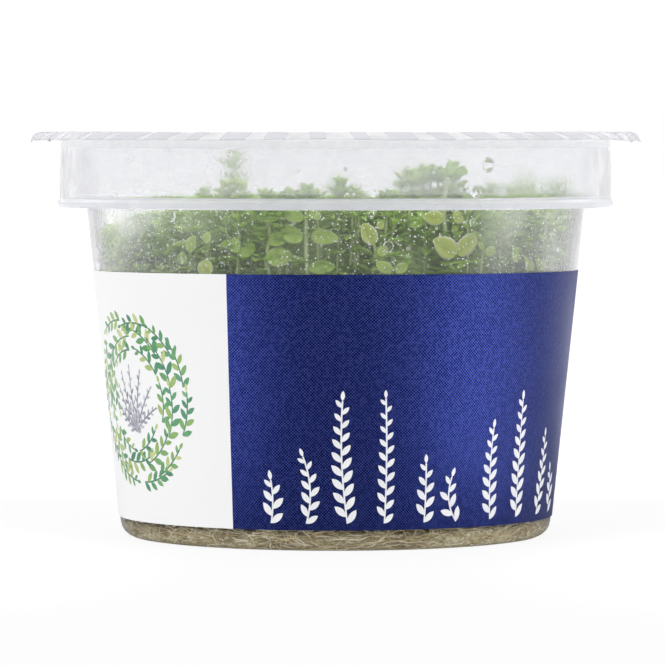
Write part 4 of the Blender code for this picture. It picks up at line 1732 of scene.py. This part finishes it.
def build_world():
    """A light tent: a plain white backdrop, and for what the cup mirrors a dimmer front and rear sides."""
    world = bpy.data.worlds.new("light_tent")
    world.use_nodes = True
    tree = world.node_tree
    direction = split(Node(tree, "ShaderNodeTexCoord")["Generated"])
    height = direction["Z"]
    round_about = ramp(
        direction["Y"] * 0.5 + 0.5,
        (0.0, (0.3, 0.3, 0.31)),
        (0.06, (0.35, 0.35, 0.36)),
        (0.16, WHITE),
        (0.44, WHITE),
        (0.58, (0.62, 0.62, 0.64)),
        (0.92, (0.88, 0.88, 0.9)),
        (0.985, WHITE),
    )
    tent = ramp(
        height.remap(-1.0, 1.0),
        (0.0, (0.9, 0.9, 0.92)),
        (0.44, (0.99, 0.99, 1.0)),
        (0.56, WHITE),
        (0.7, (0.9, 0.9, 0.93)),
        (1.0, WHITE),
    )
    at_eye_level = maths("ABSOLUTE", height).remap(0.05, 0.28, 1.0, 0.0)
    tent = blend(at_eye_level, tent, round_about, "MULTIPLY")
    path = Node(tree, "ShaderNodeLightPath")
    plain = blend(path["Is Transmission Ray"], WHITE, BEHIND_TINT)
    mirrored = path["Is Glossy Ray"] * path["Is Reflection Ray"]
    background = tree.nodes["Background"].inputs
    give(background["Color"], blend(mirrored, plain, tent))
    give(background["Strength"], 1.0)
    bpy.context.scene.world = world


def add_softbox(name, location, size, power):
    lamp = bpy.data.lights.new(name, "AREA")
    lamp.shape = "RECTANGLE"
    lamp.size, lamp.size_y = size
    lamp.energy = power
    obj = bpy.data.objects.new(name, lamp)
    obj.location = location
    obj.rotation_euler = (LAMP_AIM - obj.location).to_track_quat("-Z", "Y").to_euler()
    bpy.context.scene.collection.objects.link(obj)
    return obj


def build_studio(floor_material):
    place_camera()
    build_world()
    for side, name in ((-1, "left"), (1, "right")):
        angle = math.radians(SIDE_LIGHT_DEGREES) * side
        away = Vector((math.sin(angle), -math.cos(angle), 0))
        beside = away * SIDE_BOX_DISTANCE + UP * SIDE_BOX_HEIGHT
        add_softbox(f"{name}_softbox", beside, SIDE_BOX_SIZE, SIDE_BOX_POWER)
        above = away * TABLE_SPOT_DISTANCE + UP * TABLE_SPOT_HEIGHT
        spot = add_softbox(f"{name}_table_lamp", above, TABLE_SPOT_SIZE, TABLE_SPOT_POWER)
        spot.rotation_euler = (0, 0, 0)
        spot.data.spread = math.radians(TABLE_SPOT_SPREAD_DEGREES)
    add_softbox("top_softbox", TOP_BOX_PLACE, TOP_BOX_SIZE, TOP_BOX_POWER)
    half, drop = FLOOR_HALF, 0.05 * MM
    corners = [(-half, -half, -drop), (half, -half, -drop), (half, half, -drop), (-half, half, -drop)]
    floor = mesh_object("floor", corners, [[0, 1, 2, 3]], (floor_material,), smooth=False)
    scene = bpy.context.scene
    scene.view_settings.view_transform = "Standard"
    scene.cycles.max_bounces = 24
    scene.cycles.diffuse_bounces = 6
    scene.cycles.glossy_bounces = 5
    scene.cycles.transmission_bounces = 24
    scene.cycles.transparent_max_bounces = 20
    scene.cycles.sample_clamp_indirect = 5.0


# Each shoot by the front wall: its stem from the top down in the photo's pixels, how far it stands behind
# the wall and how thick it is in millimetres, its tone, and its leaves: foot (pixels), heading (degrees),
# length and width (millimetres), tilt (degrees), tone and wetness, which also sets the painted rim highlight
# and painted shade by the midrib
FRONT_SHOOTS = (
    (((447, 178), (443, 204), (445, 240), (447, 276)), 2.6, 0.5, 0.9, (
        (453, 172, 4, 3.9, 1.7, 20, 0.46, 0.1),
        (447, 175, 60, 3.2, 2.0, 30, 0.29, 0.0),
        (443, 219, 172, 3.9, 2.7, 0, 0.66, 0.9),
        (452, 219, 20, 2.4, 2.6, 10, 0.64, 0.9),
        (455, 255, 146, 5.0, 3.9, 0, 0.54, 1.0),
        (456, 254, 40, 5.3, 3.5, 0, 0.52, 1.0),
    )),
    (((307, 206), (306, 232), (307, 262), (308, 276)), 1.8, 0.42, 0.95, (
        (304, 219, 160, 4.2, 2.6, 10, 0.34, 0.2),
        (309, 217, 30, 2.6, 2.0, 10, 0.49, 0.3),
        (303, 240, 155, 4.6, 3.0, 10, 0.44, 0.2),
        (311, 236, -4, 4.8, 2.7, 0, 0.36, 0.4),
        (309, 268, 4, 4.6, 2.6, 0, 0.24, 0.1),
    )),
    (((268, 211), (270, 236), (267, 262), (270, 276)), 2.2, 0.4, 0.8, (
        (268, 222, 118, 2.8, 1.9, 20, 0.36, 0.1),
        (270, 222, 55, 2.8, 1.8, 20, 0.44, 0.1),
        (269, 243, 22, 4.0, 2.6, 15, 0.40, 0.2),
        (267, 259, 10, 4.6, 3.4, 5, 0.32, 0.4),
    )),
    (((372, 236), (375, 250), (379, 276)), 1.5, 0.32, 0.85, (
        (374, 244, 118, 4.1, 2.9, 0, 0.52, 1.0),
        (378, 229, 60, 1.6, 1.4, 0, 0.72, 0.8),
        (379, 256, 55, 2.4, 1.9, 10, 0.46, 0.6),
        (377, 247, -78, 2.6, 1.6, 10, 0.36, 0.5),
    )),
    (((409, 208), (408, 240), (412, 262), (416, 276)), 4.5, 0.45, 0.75, (
        (409, 226, 20, 3.6, 2.2, 20, 0.29, 0.0),
        (411, 262, 165, 3.8, 2.4, 20, 0.36, 0.0),
    )),
    (((483, 249), (480, 262), (479, 276)), 1.6, 0.34, 0.85, (
        (484, 252, 8, 2.6, 1.9, 0, 0.36, 0.7),
        (482, 250, 118, 1.8, 1.2, 10, 0.54, 0.4),
    )),
    (((512, 262), (511, 276)), 2.4, 0.3, 0.7, (
        (511, 262, 75, 3.0, 2.3, 0, 0.64, 0.2),
    )),
    (((525, 262), (525, 276)), 1.6, 0.3, 0.8, (
        (525, 272, 96, 2.9, 1.7, 0, 0.52, 0.5),
        (527, 270, 55, 2.2, 1.6, 0, 0.44, 0.4),
    )),
    (((536, 262), (537, 276)), 1.6, 0.3, 0.8, (
        (537, 271, 112, 3.0, 2.0, 0, 0.48, 0.5),
        (538, 270, 60, 2.8, 1.9, 0, 0.44, 0.5),
    )),
    (((192, 252), (190, 276)), 1.8, 0.3, 0.6, (
        (190, 252, 72, 3.1, 2.3, 5, 0.40, 0.6),
        (189, 262, 150, 3.2, 2.2, 10, 0.24, 0.2),
    )),
    (((210, 243), (208, 276)), 2.0, 0.3, 0.6, (
        (207, 243, 80, 2.0, 1.9, 5, 0.72, 0.6),
    )),
    (((207, 266), (207, 276)), 1.0, 0.3, 0.6, (
        (207, 276, 92, 3.0, 3.4, 0, 0.54, 1.0),
    )),
    (((143, 215), (132, 226), (121, 236), (118, 276)), 2.0, 0.36, 0.5, (
        (135, 224, 38, 2.9, 1.9, 10, 0.20, 0.1),
        (128, 226, 70, 2.0, 1.5, 20, 0.20, 0.0),
        (121, 233, 84, 2.2, 1.7, 0, 0.60, 0.6),
        (126, 232, -30, 2.4, 1.8, 10, 0.20, 0.0),
    )),
    (((240, 250), (238, 276)), 3.0, 0.32, 0.7, (
        (240, 252, 130, 3.4, 2.3, 15, 0.34, 0.1),
        (240, 256, 30, 3.2, 2.2, 15, 0.40, 0.1),
    )),
    (((388, 262), (392, 276)), 1.2, 0.3, 0.8, (
        (392, 272, 150, 3.2, 2.2, 0, 0.64, 0.6),
        (394, 272, 30, 2.8, 2.0, 0, 0.54, 0.4),
    )),
)

# Each tuft in the collar: where its top is in the photo's pixels, how far it spreads, its stems, how far it
# stands behind the wall in millimetres, and how much brighter than the bed it is
COLLAR_TUFTS = (
    (236, 183, 13, 6, 9.0, 0.08),
    (208, 192, 8, 3, 12.0, -0.03),
    (262, 193, 6, 3, 5.0, -0.14),
    (277, 192, 7, 3, 5.0, -0.16),
    (292, 191, 7, 3, 6.0, -0.16),
    (307, 189, 7, 3, 6.0, -0.08),
    (319, 192, 5, 2, 5.0, -0.03),
    (340, 180, 5, 3, 8.0, -0.03),
    (355, 190, 7, 3, 5.0, 0.04),
    (389, 193, 10, 5, 5.0, -0.20),
    (409, 172, 11, 4, 17.0, -0.10),
    (432, 168, 15, 7, 13.0, -0.02),
    (457, 186, 10, 3, 6.0, -0.06),
    (490, 186, 10, 3, 11.0, -0.12),
    (521, 186, 17, 6, 12.0, -0.03),
    (558, 182, 10, 5, 7.0, -0.16),
    (583, 193, 9, 4, 5.0, -0.13),
)

# Single drops on the inner wall: the photo's pixels and the radius in millimetres
LARGE_DROPS = (
    (486, 164, 1.25),
    (474, 191, 1.0),
    (388, 246, 0.9),
    (472, 222, 0.7),
    (371, 215, 0.5),
    (318, 216, 0.55),
    (173, 216, 0.9),
    (231, 154, 0.5),
    (556, 250, 0.55),
)

# The wreath on the white field, and the meadow that grows round the blue one, in millimetres along and up
WREATH_SPOTS = ((-43.0, 25.5), (-98.0, 25.5))
MEADOW = (-12.0, 122.0)
MEADOW_FOOT = 5.0


def fan_rows(seed):
    """Grey sprigs that spread upwards like a fan in the middle of each wreath."""
    rng = random.Random(seed)
    rows = []
    for along, height in WREATH_SPOTS:
        for k in range(7):
            turn = 36.0 + 18.0 * k + rng.gauss(0, 3)
            length = 7.5 + 3.5 * math.sin(math.pi * k / 6)
            rows.append((along, height - 5.5, turn, length, 0.5, 11, 1.7, 0.6, 40))
    return rows


def wreath_rows(rings, seed):
    """Short arched sprigs round circles; a ring is radius, count, length, leaves, leaf length and width."""
    rng = random.Random(seed)
    rows = []
    for along, height in WREATH_SPOTS:
        for radius, count, length, leaves, leaf_length, leaf_width in rings:
            first = rng.uniform(0.0, 360.0)
            for k in range(count):
                turn = first + 360.0 * k / count + rng.gauss(0, 5)
                c, s = math.cos(math.radians(turn)), math.sin(math.radians(turn))
                bend = math.degrees(length / (2 * radius))
                arch = -length * length / (4 * radius)
                heading = turn + 90 + bend + rng.gauss(0, 6)
                row = (along + radius * c, height + radius * s, heading, length, arch)
                rows.append((*row, leaves, leaf_length, leaf_width, 44))
    return rows


def meadow_rows():
    """White sprigs that grow up from the label's lower edge, in clumps of tall and short ones."""
    rng = random.Random(12)
    rows = []
    along = MEADOW[0]
    while along < MEADOW[1]:
        clump = 0.5 + 0.5 * math.sin(along * 0.19 + 0.6)
        length = 7.5 + 17.0 * clump * rng.uniform(0.75, 1.0)
        leaves = 2 * int(length / 2.3) + 1
        leaf = rng.uniform(2.3, 3.2)
        heading, arch = rng.gauss(90, 4), rng.gauss(0, 1.4)
        rows.append((along, MEADOW_FOOT, heading, length, arch, leaves, leaf, leaf * 0.42, 42))
        along += rng.uniform(6.6, 8.2)
    return rows


def main():
    clear, misted = make_clear_plastic(), make_misted_plastic()
    leaf_finish, stem_finish = make_leaf(), make_stem()
    whitened = (make_sealed_rim(), make_frosted_plastic(), make_collar_plastic())
    build_cup((clear, misted, *whitened, make_wetted_plastic()))
    build_tongue(clear)
    build_film(make_film(), make_film_edge())
    lavender_ink = make_ink("lavender_ink", (0.0, (0.42, 0.42, 0.455)), (1.0, (0.5, 0.5, 0.53)), alpha=0.8)
    build_film_print(make_blade_tree(), lavender_ink)

    build_label(make_label())
    white_ink = make_ink("white_ink", (0.0, (0.9, 0.91, 0.93)), (1.0, (0.96, 0.96, 0.97)))
    greens = ((0.0, (0.03, 0.2, 0.11)), (0.4, (0.09, 0.33, 0.12)))
    greens += ((0.75, (0.3, 0.47, 0.12)), (1.0, (0.62, 0.68, 0.3)))
    greys = ((0.0, (0.2, 0.21, 0.28)), (0.6, (0.42, 0.43, 0.5)), (1.0, (0.62, 0.62, 0.68)))
    green_rings = ((11.5, 9, 9.0, 9, 2.8, 1.15), (14.5, 11, 8.0, 9, 2.4, 1.0), (9.0, 6, 7.0, 7, 2.4, 1.0))
    sprig_tree = make_sprig_tree()
    print_sprigs(sprig_tree, "label_print_white", meadow_rows(), white_ink)
    print_sprigs(sprig_tree, "label_print_green", wreath_rows(green_rings, 4), make_ink("green_ink", *greens))
    print_sprigs(sprig_tree, "label_print_grey", fan_rows(9), make_ink("grey_ink", *greys))

    build_gel(make_gel())
    build_roots(make_root_felt(), make_root_fibre(), make_fibre_tree())
    plant_tree = make_plant_tree()
    finishes = {"Leaf finish": leaf_finish, "Stem finish": stem_finish}
    leaf = leaf_shape("leaf", LEAF_STATIONS, 2)
    plant = (plant_tree, {"Leaf": leaf, **finishes})
    for number, name in enumerate(PLANTLETS):
        grow_plantlet(number, name, plant)
    grow_wall_ring(plant)
    grow_collar_tufts(plant)
    discard(leaf)
    large_leaf = leaf_shape("large_leaf", LARGE_LEAF_STATIONS, 6)
    grow_front_shoots((plant_tree, {"Leaf": large_leaf, **finishes}))
    discard(large_leaf)

    build_mist(make_mist(), make_neck_mist())
    water = make_dew_water()
    build_dew(make_dew_tree(), water)
    build_large_drops(water)
    build_studio(make_floor())


main()
